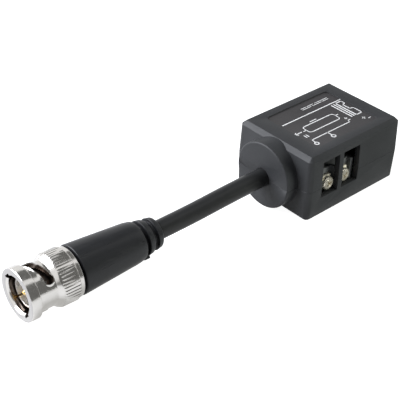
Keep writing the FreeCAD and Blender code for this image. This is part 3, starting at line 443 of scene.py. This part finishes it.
def raise_surface(tree, shader, *layers):
    """Bump from several layers of (height, depth in millimetres)."""
    normal = None
    for height, depth in layers:
        bump = add_node(tree, "ShaderNodeBump", Strength=1.0, Distance=depth * MM, Height=height)
        if normal:
            tree.links.new(normal, bump.inputs["Normal"])
        normal = bump.outputs["Normal"]
    tree.links.new(normal, shader.inputs["Normal"])


def panel_share(tree, place):
    """One on the case's label panel, and nought elsewhere."""
    kind = "ShaderNodeVectorMath"
    away = calculate(tree, "SUBTRACT", place, PANEL_MIDDLE, kind=kind)
    share = calculate(tree, "DIVIDE", calculate(tree, "ABSOLUTE", away, kind=kind), PANEL_HALF, kind=kind)
    split = add_node(tree, "ShaderNodeSeparateXYZ", Vector=share)
    widest = calculate(tree, "MAXIMUM", split.outputs["X"], split.outputs["Y"])
    furthest = calculate(tree, "MAXIMUM", widest, split.outputs["Z"])
    return calculate(tree, "LESS_THAN", furthest, 1.0)


def painted_shade_share(tree, split, low_radius, high_radius, station):
    """Painted shade: one where a turned surface lies behind a station and between two radii, in the hollows
    where shade falls, and nought elsewhere.
    """
    across = add_node(tree, "ShaderNodeCombineXYZ", X=split.outputs["X"], Y=split.outputs["Y"])
    length = add_node(
        tree, "ShaderNodeVectorMath", operation="LENGTH", Vector=across.outputs["Vector"],
    )
    radius = length.outputs["Value"]
    outside = calculate(tree, "GREATER_THAN", radius, low_radius)
    within = calculate(tree, "LESS_THAN", radius, high_radius)
    behind = calculate(tree, "GREATER_THAN", split.outputs["Z"], station)
    return calculate(tree, "MULTIPLY", calculate(tree, "MULTIPLY", outside, within), behind)


def moulded_finish(name, colour, roughness, grain=0.004, uneven=0.06, panel_colour=None, **sockets):
    """Moulded plastic: a fine spark texture, faint flow shading, uneven gloss and perhaps a panel."""
    material, tree, shader = new_finish(name, colour, roughness, **sockets)
    place = millimetres(tree)
    flow = ramp(tree, noise(tree, place, 0.09, 3.0), 0.0, 1.0)
    fine = noise(tree, place, 5.0)
    tone = shades(tree, flow, colour, 0.88, 1.12)
    if panel_colour:
        tone = blend(tree, panel_share(tree, place), tone, shades(tree, flow, panel_colour, 0.88, 1.12))
    set_up(
        tree, shader, Base_Color=tone, Roughness=ramp(tree, fine, roughness - uneven, roughness + uneven),
    )
    raise_surface(tree, shader, (fine, grain), (noise(tree, place, 1.1), grain))
    return material


def winding_finish(name, colour):
    """Enamelled wire: close turns round the ferrite ring."""
    material, tree, shader = new_finish(name, colour, 0.25)
    waves = add_node(
        tree, "ShaderNodeTexWave", Vector=millimetres(tree), Scale=1.1, bands_direction="X",
    ).outputs["Fac"]
    set_up(tree, shader, Base_Color=shades(tree, waves, colour, 0.45, 1.0))
    raise_surface(tree, shader, (waves, 0.15))
    return material


def vinyl_finish(name, colour, roughness=0.34):
    """Extruded or moulded soft vinyl: satin, with long faint ripples along the plug's axis."""
    material, tree, shader = new_finish(name, colour, roughness, Specular_IOR_Level=0.22)
    along = millimetres(tree, PLUG)
    stretch = add_node(tree, "ShaderNodeMapping", Vector=along, Scale=(1.0, 1.0, 0.15))
    ripple = noise(tree, stretch.outputs["Vector"], 0.8, 3.0)
    set_up(
        tree, shader, Base_Color=shades(tree, ripple, colour, 0.8, 1.25),
        Roughness=ramp(tree, ripple, roughness - 0.07, roughness + 0.07),
    )
    raise_surface(tree, shader, (ripple, 0.02), (noise(tree, along, 6.0), 0.003))
    return material


def turned_finish(name, colour, roughness, lines=0.0012, painted_shade=None):
    """Plated turned metal: fine tool lines round the plug's axis, a faint bloom in the plating, painted
    shade deep inside, between two radii and behind a station, and a painted darker tone on the front face
    that tones down its reflection."""
    material, tree, shader = new_finish(name, colour, roughness, Metallic=1.0)
    own = millimetres(tree, PLUG)
    split = add_node(tree, "ShaderNodeSeparateXYZ", Vector=own)
    station = split.outputs["Z"]
    line = add_node(tree, "ShaderNodeTexNoise", noise_dimensions="1D", W=station, Scale=9.0, Detail=3.0)
    bloom = noise(tree, own, 0.7, 4.0)
    tone = shades(tree, bloom, colour, 0.93, 1.05)
    if painted_shade:
        # Painted shade in the hollows, and a painted darker front face that damps its reflection.
        tone = blend(tree, painted_shade_share(tree, split, *painted_shade), tone, PAINTED_SHADE_TONE)
        tone = blend(tree, calculate(tree, "LESS_THAN", station, FACE_SHADE_STATION), tone, FACE_SHADE_TONE)
    set_up(
        tree, shader, Base_Color=tone, Roughness=ramp(tree, bloom, roughness - 0.03, roughness + 0.06),
    )
    raise_surface(tree, shader, (line.outputs["Fac"], lines))
    return material


def plated_finish(name, colour, roughness=0.3, metallic=1.0):
    """Bright plated steel or tinned copper, slightly uneven."""
    material, tree, shader = new_finish(name, colour, roughness, Metallic=metallic)
    place = millimetres(tree)
    cloud = noise(tree, place, 1.6, 4.0)
    set_up(
        tree, shader, Base_Color=shades(tree, cloud, colour, 0.86, 1.06),
        Roughness=ramp(tree, cloud, roughness - 0.07, roughness + 0.1),
    )
    raise_surface(tree, shader, (noise(tree, place, 9.0, 3.0), 0.002))
    return material


def glossy_finish(name, colour, roughness=0.25, grain=0.002):
    """A smooth moulded, dipped or printed surface."""
    material, tree, shader = new_finish(name, colour, roughness)
    place = millimetres(tree)
    set_up(tree, shader, Base_Color=shades(tree, noise(tree, place, 1.2, 3.0), colour, 0.9, 1.08))
    raise_surface(tree, shader, (noise(tree, place, 4.0), grain))
    return material


def board_finish(name):
    """Green solder mask over tracks."""
    material, tree, shader = new_finish(name, (0.03, 0.16, 0.06), 0.35)
    place = millimetres(tree)
    tracks = add_node(
        tree, "ShaderNodeTexBrick", Vector=place, Scale=0.22, offset=0.35, Mortar_Size=0.05,
        Color1=(0.02, 0.13, 0.05, 1), Color2=(0.03, 0.16, 0.06, 1), Mortar=(0.05, 0.26, 0.10, 1),
    )
    set_up(tree, shader, Base_Color=tracks.outputs["Color"])
    raise_surface(tree, shader, (tracks.outputs["Fac"], 0.03), (noise(tree, place, 5.0), 0.003))
    return material


def new_object(name, bm):
    """An object in the scene from a bmesh, which is used up."""
    mesh = bpy.data.meshes.new(name)
    bm.to_mesh(mesh)
    bm.free()
    made = bpy.data.objects.new(name, mesh)
    bpy.context.scene.collection.objects.link(made)
    return made


def add_piece(bm, name, body, finish, nodes=(), place=TO_METRES, sharp=32.0):
    """A shaded piece from a bmesh in millimetres, riding on a body and standing for CAD nodes."""
    bmesh.ops.transform(bm, matrix=place, verts=bm.verts)
    piece = new_object(name, bm)
    piece.data.shade_smooth()
    piece.data.set_sharp_from_angle(angle=math.radians(sharp))
    piece.data.materials.append(finish)
    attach(piece, body)
    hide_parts(*nodes)
    return piece


def tidy(bm, distance=0.001):
    """Merge doubles and point the faces outwards."""
    bmesh.ops.remove_doubles(bm, verts=bm.verts, dist=distance)
    bmesh.ops.recalc_face_normals(bm, faces=bm.faces)
    return bm


def close_gaps(bm):
    """Close the hairline gaps that a boolean can leave."""
    gaps = [edge for edge in bm.edges if edge.is_boundary]
    if gaps:
        bmesh.ops.holes_fill(bm, edges=gaps, sides=0)
    return bm


def outline(bm, corners, closed=True):
    """Wire in the XZ plane through (radius, station, rounding) corners."""
    points = [bm.verts.new((radius, 0, station)) for radius, station, _ in corners]
    pairs = list(zip(points, points[1:]))
    if closed:
        pairs.append((points[-1], points[0]))
    for pair in pairs:
        bm.edges.new(pair)
    for size in sorted({rounding for _, _, rounding in corners if rounding}):
        chosen = [point for point, corner in zip(points, corners) if corner[2] == size]
        bmesh.ops.bevel(
            bm, geom=chosen, offset=size, offset_type="OFFSET", segments=4, profile=0.5,
            affect="VERTICES", material=-1, clamp_overlap=True,
        )


def rotation(degrees, axis="Z"):
    """A turn about an axis."""
    return Matrix.Rotation(math.radians(degrees), 4, axis)


def box(shape):
    """A unit cube stretched and moved by a matrix."""
    bm = bmesh.new()
    bmesh.ops.create_cube(bm, size=1.0)
    bmesh.ops.transform(bm, matrix=shape, verts=bm.verts)
    return bm


def turned(corners, steps, closed=True):
    """A turned solid about Z from its rounded outline."""
    bm = bmesh.new()
    outline(bm, corners, closed)
    bmesh.ops.spin(
        bm, geom=bm.verts[:] + bm.edges[:], cent=(0, 0, 0), axis=(0, 0, 1), angle=FULL_TURN,
        steps=steps, use_merge=True,
    )
    return tidy(bm)


def soften(bm, size, least=28.0, segments=2):
    """Bevel the edges that turn more than an angle."""
    edges = [
        edge for edge in bm.edges
        if edge.is_manifold and edge.calc_face_angle(0) > math.radians(least)
    ]
    bmesh.ops.bevel(
        bm, geom=edges, offset=size, offset_type="OFFSET", segments=segments, profile=0.5,
        affect="EDGES", material=-1, clamp_overlap=True,
    )
    return bm


def copy_of_node(node):
    """A node's solid in millimetres, merged, with its flat faces whole."""
    bm = bmesh.new()
    bm.from_mesh(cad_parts[node].data)
    bmesh.ops.transform(bm, matrix=TO_METRES.inverted(), verts=bm.verts)
    tidy(bm, 0.002)
    bmesh.ops.dissolve_limit(bm, angle_limit=math.radians(0.4), verts=bm.verts, edges=bm.edges)
    return bm


def cut(bm, tool):
    """The first solid less the second. Both are used up, and a new bmesh comes back."""
    parts = [new_object("cut", shape) for shape in (bm, tool)]
    modifier = parts[0].modifiers.new("Cut", "BOOLEAN")
    modifier.operation = "DIFFERENCE"
    modifier.solver = "EXACT"
    modifier.object = parts[1]
    evaluated = parts[0].evaluated_get(bpy.context.evaluated_depsgraph_get())
    made = bpy.data.meshes.new_from_object(evaluated)
    fresh = bmesh.new()
    fresh.from_mesh(made)
    for part in parts:
        mesh = part.data
        bpy.data.objects.remove(part)
        bpy.data.meshes.remove(mesh)
    bpy.data.meshes.remove(made)
    if not fresh.faces:
        raise RuntimeError("a cut left nothing")
    return fresh


def dress_nodes(finish, *nodes):
    """Give CAD nodes that stay as they are a better finish."""
    for node in nodes:
        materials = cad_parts[node].data.materials
        materials.clear()
        materials.append(finish)


class BALUN_OT_stage(Operator):
    """Make the floor, the lights, the surroundings and the camera"""

    bl_idname = "balun.make_stage"
    bl_label = "Stage"

    def execute(self, context):
        settings = context.scene.balun_stage
        scene = context.scene
        scene.view_settings.view_transform = "Standard"
        self.make_camera(scene, settings)
        self.make_surroundings(scene, settings)
        self.make_floor(settings)
        for card in CARDS:
            self.add_card(settings.card_colour, *card)
        self.add_softbox("key", settings.key, *KEY_BOX)
        front = self.add_softbox("front", settings.front, *FRONT_BOX)
        front.visible_glossy = False
        return {"FINISHED"}

    def make_camera(self, scene, settings):
        """The camera of the photograph."""
        azimuth, elevation = settings.azimuth, settings.elevation
        back = Vector((
            math.sin(azimuth) * math.cos(elevation), -math.cos(azimuth) * math.cos(elevation),
            math.sin(elevation),
        ))
        data = bpy.data.cameras.new("camera")
        data.lens = settings.lens
        data.clip_start = 0.01
        data.clip_end = 10.0
        camera = bpy.data.objects.new("camera", data)
        scene.collection.objects.link(camera)
        camera.rotation_mode = "QUATERNION"
        level = (-back).to_track_quat("-Z", "Y")
        camera.rotation_quaternion = Quaternion(back, settings.roll) @ level
        camera.location = settings.place
        scene.camera = camera

    def make_surroundings(self, scene, settings):
        """White for the camera and for reflections, and a faint even light for all else."""
        world = bpy.data.worlds.new("surroundings")
        world.use_nodes = True
        scene.world = world
        tree = world.node_tree
        seen = set_up(tree, tree.nodes["Background"], Color=(1, 1, 1, 1), Strength=1.0)
        even = add_node(tree, "ShaderNodeBackground", Color=(0.95, 0.97, 1.0, 1), Strength=settings.fill)
        rays = tree.nodes.new("ShaderNodeLightPath")
        shown = calculate(
            tree, "MAXIMUM", rays.outputs["Is Camera Ray"], rays.outputs["Is Glossy Ray"],
        )
        either = calculate(tree, "MAXIMUM", shown, rays.outputs["Is Transmission Ray"])
        mix = add_node(tree, "ShaderNodeMixShader", Fac=either)
        feed(tree, mix.inputs[1], even.outputs[0])
        feed(tree, mix.inputs[2], seen.outputs[0])
        set_up(tree, tree.nodes["World Output"], Surface=mix.outputs[0])

    def make_floor(self, settings):
        """A pale floor that takes soft shadows, and looks a little darker in reflections."""
        material, tree, shader = new_finish("floor_white", settings.floor_colour, 0.8)
        rays = tree.nodes.new("ShaderNodeLightPath")
        seen = calculate(tree, "MULTIPLY", rays.outputs["Is Camera Ray"], settings.floor_glow)
        glow = calculate(
            tree, "MULTIPLY_ADD", rays.outputs["Is Glossy Ray"], settings.floor_sheen, seen,
        )
        set_up(tree, shader, Emission_Color=(1, 1, 1, 1), Emission_Strength=glow)
        self.add_plane("floor", FLOOR_SIZE, material)

    def add_plane(self, name, size, material):
        """A level sheet that belongs to the stage."""
        bm = bmesh.new()
        bmesh.ops.create_grid(bm, x_segments=1, y_segments=1, size=0.5)
        bmesh.ops.scale(bm, vec=(*size, 1), verts=bm.verts)
        plane = new_object(name, bm)
        plane.data.materials.append(material)
        return plane

    def add_card(self, colour, name, place, size, turn):
        """A dark card that only mirror-like surfaces see."""
        finish = new_finish(
            name, (0, 0, 0), 1.0, Specular_IOR_Level=0.0, Emission_Color=(*colour, 1),
            Emission_Strength=1.0,
        )
        card = self.add_plane(name, size, finish[0])
        card.location = place
        card.rotation_euler = (turn, 0, 0)
        card.visible_camera = False
        card.visible_diffuse = False
        card.visible_shadow = False

    def add_softbox(self, name, power, place, size, colour):
        """A soft light that faces the object."""
        data = bpy.data.lights.new(name, "AREA")
        data.shape = "RECTANGLE"
        data.size, data.size_y = size
        data.energy = power
        data.color = colour
        light = bpy.data.objects.new(name, data)
        light.location = place
        aim = LIGHT_AIM - light.location
        light.rotation_mode = "QUATERNION"
        light.rotation_quaternion = aim.to_track_quat("-Z", "Y")
        bpy.context.scene.collection.objects.link(light)
        return light


class BALUN_OT_lead(Operator):
    """Lay the coax lead along its route, from the case into the plug"""

    bl_idname = "balun.make_lead"
    bl_label = "Lead"

    def execute(self, context):
        curve = bpy.data.curves.new("coax_lead", "CURVE")
        curve.dimensions = "3D"
        spline = curve.splines.new("NURBS")
        spline.points.add(len(LEAD_ROUTE) - 1)
        for point, place in zip(spline.points, LEAD_ROUTE):
            point.co = (*place, 1)
        spline.order_u = 3
        spline.use_endpoint_u = True
        spline.resolution_u = 16
        curve.bevel_depth = LEAD_DIAMETER / 2 * MM
        curve.bevel_resolution = 12
        curve.use_fill_caps = True
        settings = context.scene.balun_plug
        curve.materials.append(vinyl_finish("lead_vinyl", settings.jacket_colour))
        lead = bpy.data.objects.new("coax_lead", curve)
        context.scene.collection.objects.link(lead)
        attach(lead, "housing")
        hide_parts("cable")
        return {"FINISHED"}


class BALUN_OT_case(Operator):
    """Round the edges of the two moulded shells and ease their seam"""

    bl_idname = "balun.make_case"
    bl_label = "Case"

    def execute(self, context):
        settings = context.scene.balun_case
        finish = moulded_finish(
            "case_moulding", settings.colour, 0.5, uneven=0.05, panel_colour=settings.panel_colour,
            Specular_IOR_Level=0.28,
        )
        for node in ("housing_lower", "housing_upper"):
            shell = copy_of_node(node)
            self.ease_seam(shell, settings.seam)
            soften(shell, settings.edge, CASE_ANGLE, 3)
            add_piece(shell, node.replace("housing", "case"), "housing", finish, (node,))
        return {"FINISHED"}

    def ease_seam(self, shell, size):
        """Ease the outer edge at which the two shells meet, so that a fine groove shows there."""
        seam = [
            edge for edge in shell.edges
            if edge.is_manifold and edge.calc_face_angle(0) > math.radians(SEAM_ANGLE)
            and all(self.is_outside(vert.co) for vert in edge.verts)
        ]
        if not seam:
            raise RuntimeError("a shell has no seam")
        bmesh.ops.bevel(
            shell, geom=seam, offset=size, offset_type="OFFSET", segments=1, profile=0.5, affect="EDGES",
            material=-1, clamp_overlap=False,
        )

    def is_outside(self, place):
        """Whether a place lies on the parting and on the case's or the nose's outer face."""
        side = abs(place.y)
        if abs(place.z - PARTING_HEIGHT) >= 0.01:
            return False
        if place.x < NOSE_ROOT:
            return place.x < NOSE_FRONT and side > LEAD_HOLE or side > NOSE_SIDE
        return side > CASE_SIDE or place.x > CASE_BACK or place.x < CASE_FRONT and side > NOSE_SIDE


class BALUN_OT_print(Operator):
    """Print the plain wiring sketch on the label panel"""

    bl_idname = "balun.make_print"
    bl_label = "Print"

    def execute(self, context):
        settings = context.scene.balun_case
        thickness = settings.ink_thickness
        ink = bmesh.new()
        for start_x, start_y, end_x, end_y, width in PRINT_STROKES:
            self.add_stroke(ink, Vector((start_x, start_y, 0)), Vector((end_x, end_y, 0)), width, thickness)
        for x, y, radius, width, turns in PRINT_ARCS:
            self.add_arc(ink, (x, y, 0), radius, width, turns, thickness)
        bmesh.ops.recalc_face_normals(ink, faces=ink.faces)
        lift = Matrix.Translation((CASE_MIDDLE, 0, PANEL_HEIGHT - thickness / 4))
        add_piece(
            ink, "label_print", "housing", glossy_finish("print_ink", settings.ink, 0.5),
            (), TO_METRES @ lift,
        )
        return {"FINISHED"}

    def add_stroke(self, ink, start, end, width, thickness):
        """A straight line with its ends squared off."""
        along = end - start
        made = bmesh.ops.create_grid(ink, x_segments=1, y_segments=1, size=0.5)
        turn = along.to_track_quat("X", "Z").to_matrix().to_4x4()
        scale = Matrix.Diagonal((along.length + width, width, 1, 1))
        place = Matrix.Translation((start + end) / 2) @ turn @ scale
        bmesh.ops.transform(ink, matrix=place, verts=made["verts"])
        self.thicken(ink, made["verts"][0].link_faces[:], thickness)

    def add_arc(self, ink, centre, radius, width, turns, thickness):
        """A ring, or the part of one between two turns of a full circle."""
        start, end = turns
        first = Matrix.Rotation(start * FULL_TURN, 3, "Z")
        whole = turns == (0, 1)
        inner = ink.verts.new(Vector(centre) + first @ Vector((radius - width / 2, 0, 0)))
        outer = ink.verts.new(Vector(centre) + first @ Vector((radius + width / 2, 0, 0)))
        edge = ink.edges.new((inner, outer))
        before = set(ink.faces)
        bmesh.ops.spin(
            ink, geom=[inner, outer, edge], cent=centre, axis=(0, 0, 1), angle=(end - start) * FULL_TURN,
            steps=32, use_merge=whole,
        )
        self.thicken(ink, [face for face in ink.faces if face not in before], thickness)

    def thicken(self, ink, faces, thickness):
        """Give flat faces their thickness, and keep them as the underside."""
        made = bmesh.ops.extrude_face_region(ink, geom=faces, use_keep_orig=True)
        top = [part for part in made["geom"] if isinstance(part, bmesh.types.BMVert)]
        bmesh.ops.translate(ink, vec=(0, 0, thickness), verts=top)


class BALUN_OT_terminals(Operator):
    """Make the terminal block, its clamp washers and its cross-recess screws"""

    bl_idname = "balun.make_terminals"
    bl_label = "Terminals"

    def execute(self, context):
        settings = context.scene.balun_terminals
        block = moulded_finish("terminal_moulding", settings.block_colour, 0.5)
        add_piece(
            soften(copy_of_node("terminal_block"), 0.12), "terminal_moulding", "housing",
            block, ("terminal_block",),
        )
        plating = plated_finish("screw_plating", settings.screw_colour, 0.24, 0.85)
        dull = plated_finish("washer_plating", scaled(settings.screw_colour, 1.08), 0.5, 0.45)
        for number, (centre, turn) in enumerate(zip(SCREW_CENTRES, SCREW_TURNS), 1):
            washer = soften(copy_of_node(f"clamp_washer_{number}"), 0.12, 40.0, 3)
            add_piece(
                washer, f"square_washer_{number}", f"clamp_{number}", dull,
                (f"clamp_washer_{number}",),
            )
            place = TO_METRES @ Matrix.Translation(centre) @ rotation(90, "X") @ rotation(turn)
            add_piece(
                self.make_screw(settings), f"cross_screw_{number}", f"screw_{number}",
                plating, (f"terminal_screw_{number}",), place,
            )
        dress_nodes(plated_finish("plate_tinning", (0.72, 0.71, 0.68)), "terminal_plate_1",
                    "terminal_plate_2")
        return {"FINISHED"}

    def make_screw(self, settings):
        """A pan head on a threaded shank, with its top at positive Z, and a cross recess."""
        corners = [
            (0, HEAD_TOP, 0), (HEAD_RADIUS, HEAD_TOP, 0.9), (HEAD_RADIUS, HEAD_FOOT, 0.1),
            (SHANK_RADIUS, HEAD_FOOT, 0), (SHANK_RADIUS, THREAD_START, 0),
        ]
        for ridge in range(settings.thread_turns):
            height = THREAD_START - THREAD_PITCH * ridge
            corners += [(THREAD_ROOT, height - 0.2, 0), (SHANK_RADIUS, height - 0.42, 0)]
        screw = turned(corners + SHANK_TIP, 64, closed=False)
        for angle in (0, 90):
            bar = box(Matrix.Identity(4))
            low = [vert for vert in bar.verts if vert.co.z < 0]
            bmesh.ops.scale(bar, vec=(*RECESS_TAPER, 1.0), verts=low)
            place = Matrix.Translation((0, 0, HEAD_TOP)) @ rotation(angle)
            bmesh.ops.transform(bar, matrix=place @ Matrix.Diagonal((*RECESS_SIZE, 1)), verts=bar.verts)
            screw = cut(screw, bar)
        return screw


class BALUN_OT_inside(Operator):
    """Finish the board and what it carries"""

    bl_idname = "balun.make_inside"
    bl_label = "Inside"

    def execute(self, context):
        windings = ("transformer_winding_1", "transformer_winding_2")
        core_ends = ("coax_dielectric_end", "coax_core_front")
        copper_ends = ("coax_conductor_end", "coax_screen_end")
        dress_nodes(board_finish("board_mask"), "circuit_board")
        dress_nodes(moulded_finish("ferrite", (0.055, 0.055, 0.06), 0.6, 0.01), "transformer_core")
        dress_nodes(winding_finish("enamelled_wire", (0.50, 0.15, 0.05)), *windings)
        dress_nodes(glossy_finish("suppressor_coat", (0.02, 0.03, 0.07)), "surge_suppressor")
        dress_nodes(glossy_finish("capacitor_coat", (0.62, 0.36, 0.10)), "filter_capacitor")
        dress_nodes(plated_finish("collar_plating", (0.70, 0.69, 0.66)), "cable_collar")
        dress_nodes(glossy_finish("core_insulation", (0.85, 0.85, 0.82), 0.4), *core_ends)
        dress_nodes(plated_finish("bare_copper", (0.80, 0.40, 0.22)), *copper_ends)
        return {"FINISHED"}


class BALUN_OT_coupling(Operator):
    """Turn the coupling ring, flute its knurl, raise the lips of its slots and cut them"""

    bl_idname = "balun.make_coupling"
    bl_label = "Coupling ring"

    def execute(self, context):
        settings = context.scene.balun_plug
        ring = turned(self.profile(), settings.knurls * COLUMNS_TO_A_GROOVE)
        self.flute(ring, settings.knurls)
        self.raise_lips(ring, settings.lip)
        for tool in self.tools():
            ring = cut(ring, tool)
        # The ring's plating carries painted shade in its bore and slots, and on its front face.
        finish = turned_finish("ring_plating", settings.nickel, 0.16, 0.0016, RING_PAINTED_SHADE)
        add_piece(
            close_gaps(tidy(ring)), "coupling_ring", "coupling", finish, ("coupling_nut",),
            PLUG @ rotation(SLOT_ROLL), sharp=30.0,
        )
        return {"FINISHED"}

    def profile(self):
        """The ring's section, its neck in short steps for the lips."""
        length = NECK_END - NECK_START
        stations = [NECK_START + length * step / NECK_STEPS for step in range(NECK_STEPS + 1)]
        return RING_FRONT + [(NECK_RADIUS, station, 0) for station in stations] + RING_BACK

    def flute(self, ring, knurls):
        """Press every groove's column of the knurl inwards."""
        for vert in ring.verts:
            radius = math.hypot(vert.co.x, vert.co.y)
            if abs(radius - KNURL_RADIUS) > ON_RADIUS:
                continue
            column = math.atan2(vert.co.y, vert.co.x) / FULL_TURN * knurls * COLUMNS_TO_A_GROOVE
            if round(column) % COLUMNS_TO_A_GROOVE == 0:
                vert.co.x *= 1 - KNURL_DEPTH / radius
                vert.co.y *= 1 - KNURL_DEPTH / radius

    def raise_lips(self, ring, height):
        """Roll the metal up round the ramp slots and their end holes."""
        for vert in ring.verts:
            radius = math.hypot(vert.co.x, vert.co.y)
            if abs(radius - NECK_RADIUS) > ON_RADIUS or not NECK_START <= vert.co.z < NECK_END:
                continue
            angle = math.atan2(vert.co.y, vert.co.x) % math.pi
            away = min(self.away_from_slot(radius * turn, vert.co.z) for turn in (angle, angle - math.pi))
            lift = height * math.exp(-(max(away, 0.0) / LIP_REACH) ** 2)
            vert.co.x *= 1 + lift / radius
            vert.co.y *= 1 + lift / radius

    def away_from_slot(self, along, station):
        """Distance on the neck's surface from a ramp slot's outline."""
        length = NECK_RADIUS * math.pi / 2
        middle = SLOT_START + SLOT_WIDTH / 2
        hole = math.hypot(along - length, station - middle - SLOT_RISE) - END_HOLE
        reach = min(max(along, 0.0), length)
        beside = abs(station - middle - SLOT_RISE * reach / length) - SLOT_WIDTH / 2
        if reach == along:
            return min(hole, beside)
        return min(hole, math.hypot(along - reach, max(beside, 0.0)))

    def tools(self):
        """What is cut out of the ring: entry grooves, ramp slots and end holes."""
        depth = SLOT_START + SLOT_WIDTH + ENTRY_LEAD
        place = Matrix.Translation((0, 0, depth / 2 - ENTRY_LEAD))
        tools = [box(place @ Matrix.Diagonal((2 * ENTRY_RADIUS, SLOT_WIDTH, depth, 1)))]
        low, high = SLOT_RADII
        end = SLOT_START + SLOT_WIDTH
        for side in (-1, 1):
            slot = bmesh.new()
            section = ((low, SLOT_START), (high, SLOT_START), (high, end), (low, end))
            slot.faces.new([slot.verts.new((side * radius, 0, station)) for radius, station in section])
            bmesh.ops.spin(
                slot, geom=slot.verts[:] + slot.edges[:] + slot.faces[:], cent=(0, 0, 0),
                axis=(0, 0, 1), dvec=(0, 0, SLOT_RISE / SLOT_STEPS), angle=math.pi / 2, steps=SLOT_STEPS,
            )
            tools.append(tidy(slot))
        holes = bmesh.new()
        bmesh.ops.create_cone(
            holes, cap_ends=True, segments=64, radius1=END_HOLE, radius2=END_HOLE, depth=HOLE_DEPTH,
            matrix=Matrix.Translation((0, 0, SLOT_START + SLOT_WIDTH / 2 + SLOT_RISE))
            @ rotation(90, "X"),
        )
        tools.append(holes)
        return tools


class BALUN_OT_plug(Operator):
    """Make the contacts, the insulator, the spring and the boot, and finish the plug's body"""

    bl_idname = "balun.make_plug"
    bl_label = "Plug"

    def execute(self, context):
        settings = context.scene.balun_plug
        body = turned_finish("body_plating", settings.nickel, 0.2)
        dress_nodes(body, "plug_body", "crimp_ferrule", "retaining_ring", "thrust_washer")
        spring = add_piece(
            self.make_spring(), "dished_spring", "housing",
            plated_finish("spring_steel", (0.62, 0.61, 0.60), 0.28), ("spring_washer",), PLUG,
        )
        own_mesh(spring)
        dress_nodes(vinyl_finish("gasket_rubber", (0.03, 0.03, 0.03), 0.6), "front_gasket")
        add_piece(
            self.make_contact(), "contact_fingers", "housing",
            # The contact's plating carries painted shade deep inside it.
            turned_finish("contact_plating", settings.nickel, 0.3, 0.001, CONTACT_PAINTED_SHADE),
            ("contact_sleeve",), PLUG,
        )
        add_piece(
            turned(INSULATOR_CORNERS, 96), "insulator_moulding", "housing",
            glossy_finish("insulator_white", settings.insulator, 0.35, 0.003), ("plug_insulator",), PLUG,
        )
        add_piece(
            turned(PIN_CORNERS, 64, closed=False), "gold_pin", "housing",
            turned_finish("pin_plating", settings.gold, 0.16, 0.0006), ("centre_pin",), PLUG,
        )
        vinyl = vinyl_finish("boot_vinyl", settings.boot_colour)
        add_piece(
            turned(BOOT_CORNERS, 128), "boot_moulding", "housing", vinyl, ("plug_boot",), PLUG,
        )
        add_piece(self.make_web(), "boot_web", "housing", vinyl, (), PLUG)
        return {"FINISHED"}

    def make_web(self):
        """The small web that joins the boot to its first ring."""
        low, high = WEB_RADII
        start, end = WEB_STATIONS
        place = Matrix.Translation(((low + high) / 2, 0, (start + end) / 2))
        size = Matrix.Diagonal((high - low, WEB_WIDTH, end - start, 1))
        return soften(box(rotation(WEB_ROLL) @ place @ size), 0.2)

    def make_spring(self):
        """The dished spring between the body's flange and the thrust washer."""
        top = SPRING_FOOT + SPRING_HEIGHT
        return turned(
            [(SPRING_INNER, SPRING_FOOT, 0.05), (SPRING_INNER + SPRING_FACE, SPRING_FOOT, 0.05),
             (SPRING_OUTER, top, 0.05), (SPRING_OUTER - SPRING_FACE, top, 0.05)], 96,
        )

    def make_contact(self):
        """The outer contact with its four spring fingers."""
        contact = turned(CONTACT_CORNERS, 96)
        place = Matrix.Translation((0, 0, CONTACT_FRONT + FINGER_LENGTH / 2 - SLIT_LEAD / 2))
        size = Matrix.Diagonal((SLIT_REACH, SLIT_WIDTH, FINGER_LENGTH + SLIT_LEAD, 1))
        for angle in SLIT_ANGLES:
            contact = cut(contact, box(place @ rotation(angle) @ size))
        return contact


OPERATORS = (
    BALUN_OT_stage, BALUN_OT_lead, BALUN_OT_case, BALUN_OT_print, BALUN_OT_terminals, BALUN_OT_inside,
    BALUN_OT_coupling, BALUN_OT_plug,
)


class BALUN_PT_panel(Panel):
    """The pieces of the balun, in the order in which they are made"""

    bl_idname = "BALUN_PT_panel"
    bl_label = "Video balun"
    bl_space_type = "VIEW_3D"
    bl_region_type = "UI"
    bl_category = "Balun"

    def draw(self, context):
        for operator in OPERATORS:
            self.layout.operator(operator.bl_idname)


SETTINGS = {
    "balun_stage": StageSettings,
    "balun_case": CaseSettings,
    "balun_terminals": TerminalSettings,
    "balun_plug": PlugSettings,
}


def register():
    """Add the settings, the operators and the panel."""
    for kind in (*SETTINGS.values(), *OPERATORS, BALUN_PT_panel):
        bpy.utils.register_class(kind)
    for name, kind in SETTINGS.items():
        setattr(bpy.types.Scene, name, PointerProperty(type=kind))


def unregister():
    """Take the settings, the operators and the panel away."""
    for name in SETTINGS:
        delattr(bpy.types.Scene, name)
    for kind in reversed((*SETTINGS.values(), *OPERATORS, BALUN_PT_panel)):
        bpy.utils.unregister_class(kind)


def main():
    """Make the stage and every piece."""
    register()
    for operator in OPERATORS:
        group, name = operator.bl_idname.split(".")
        getattr(getattr(bpy.ops, group), name)()


if __name__ == "__main__":
    main()
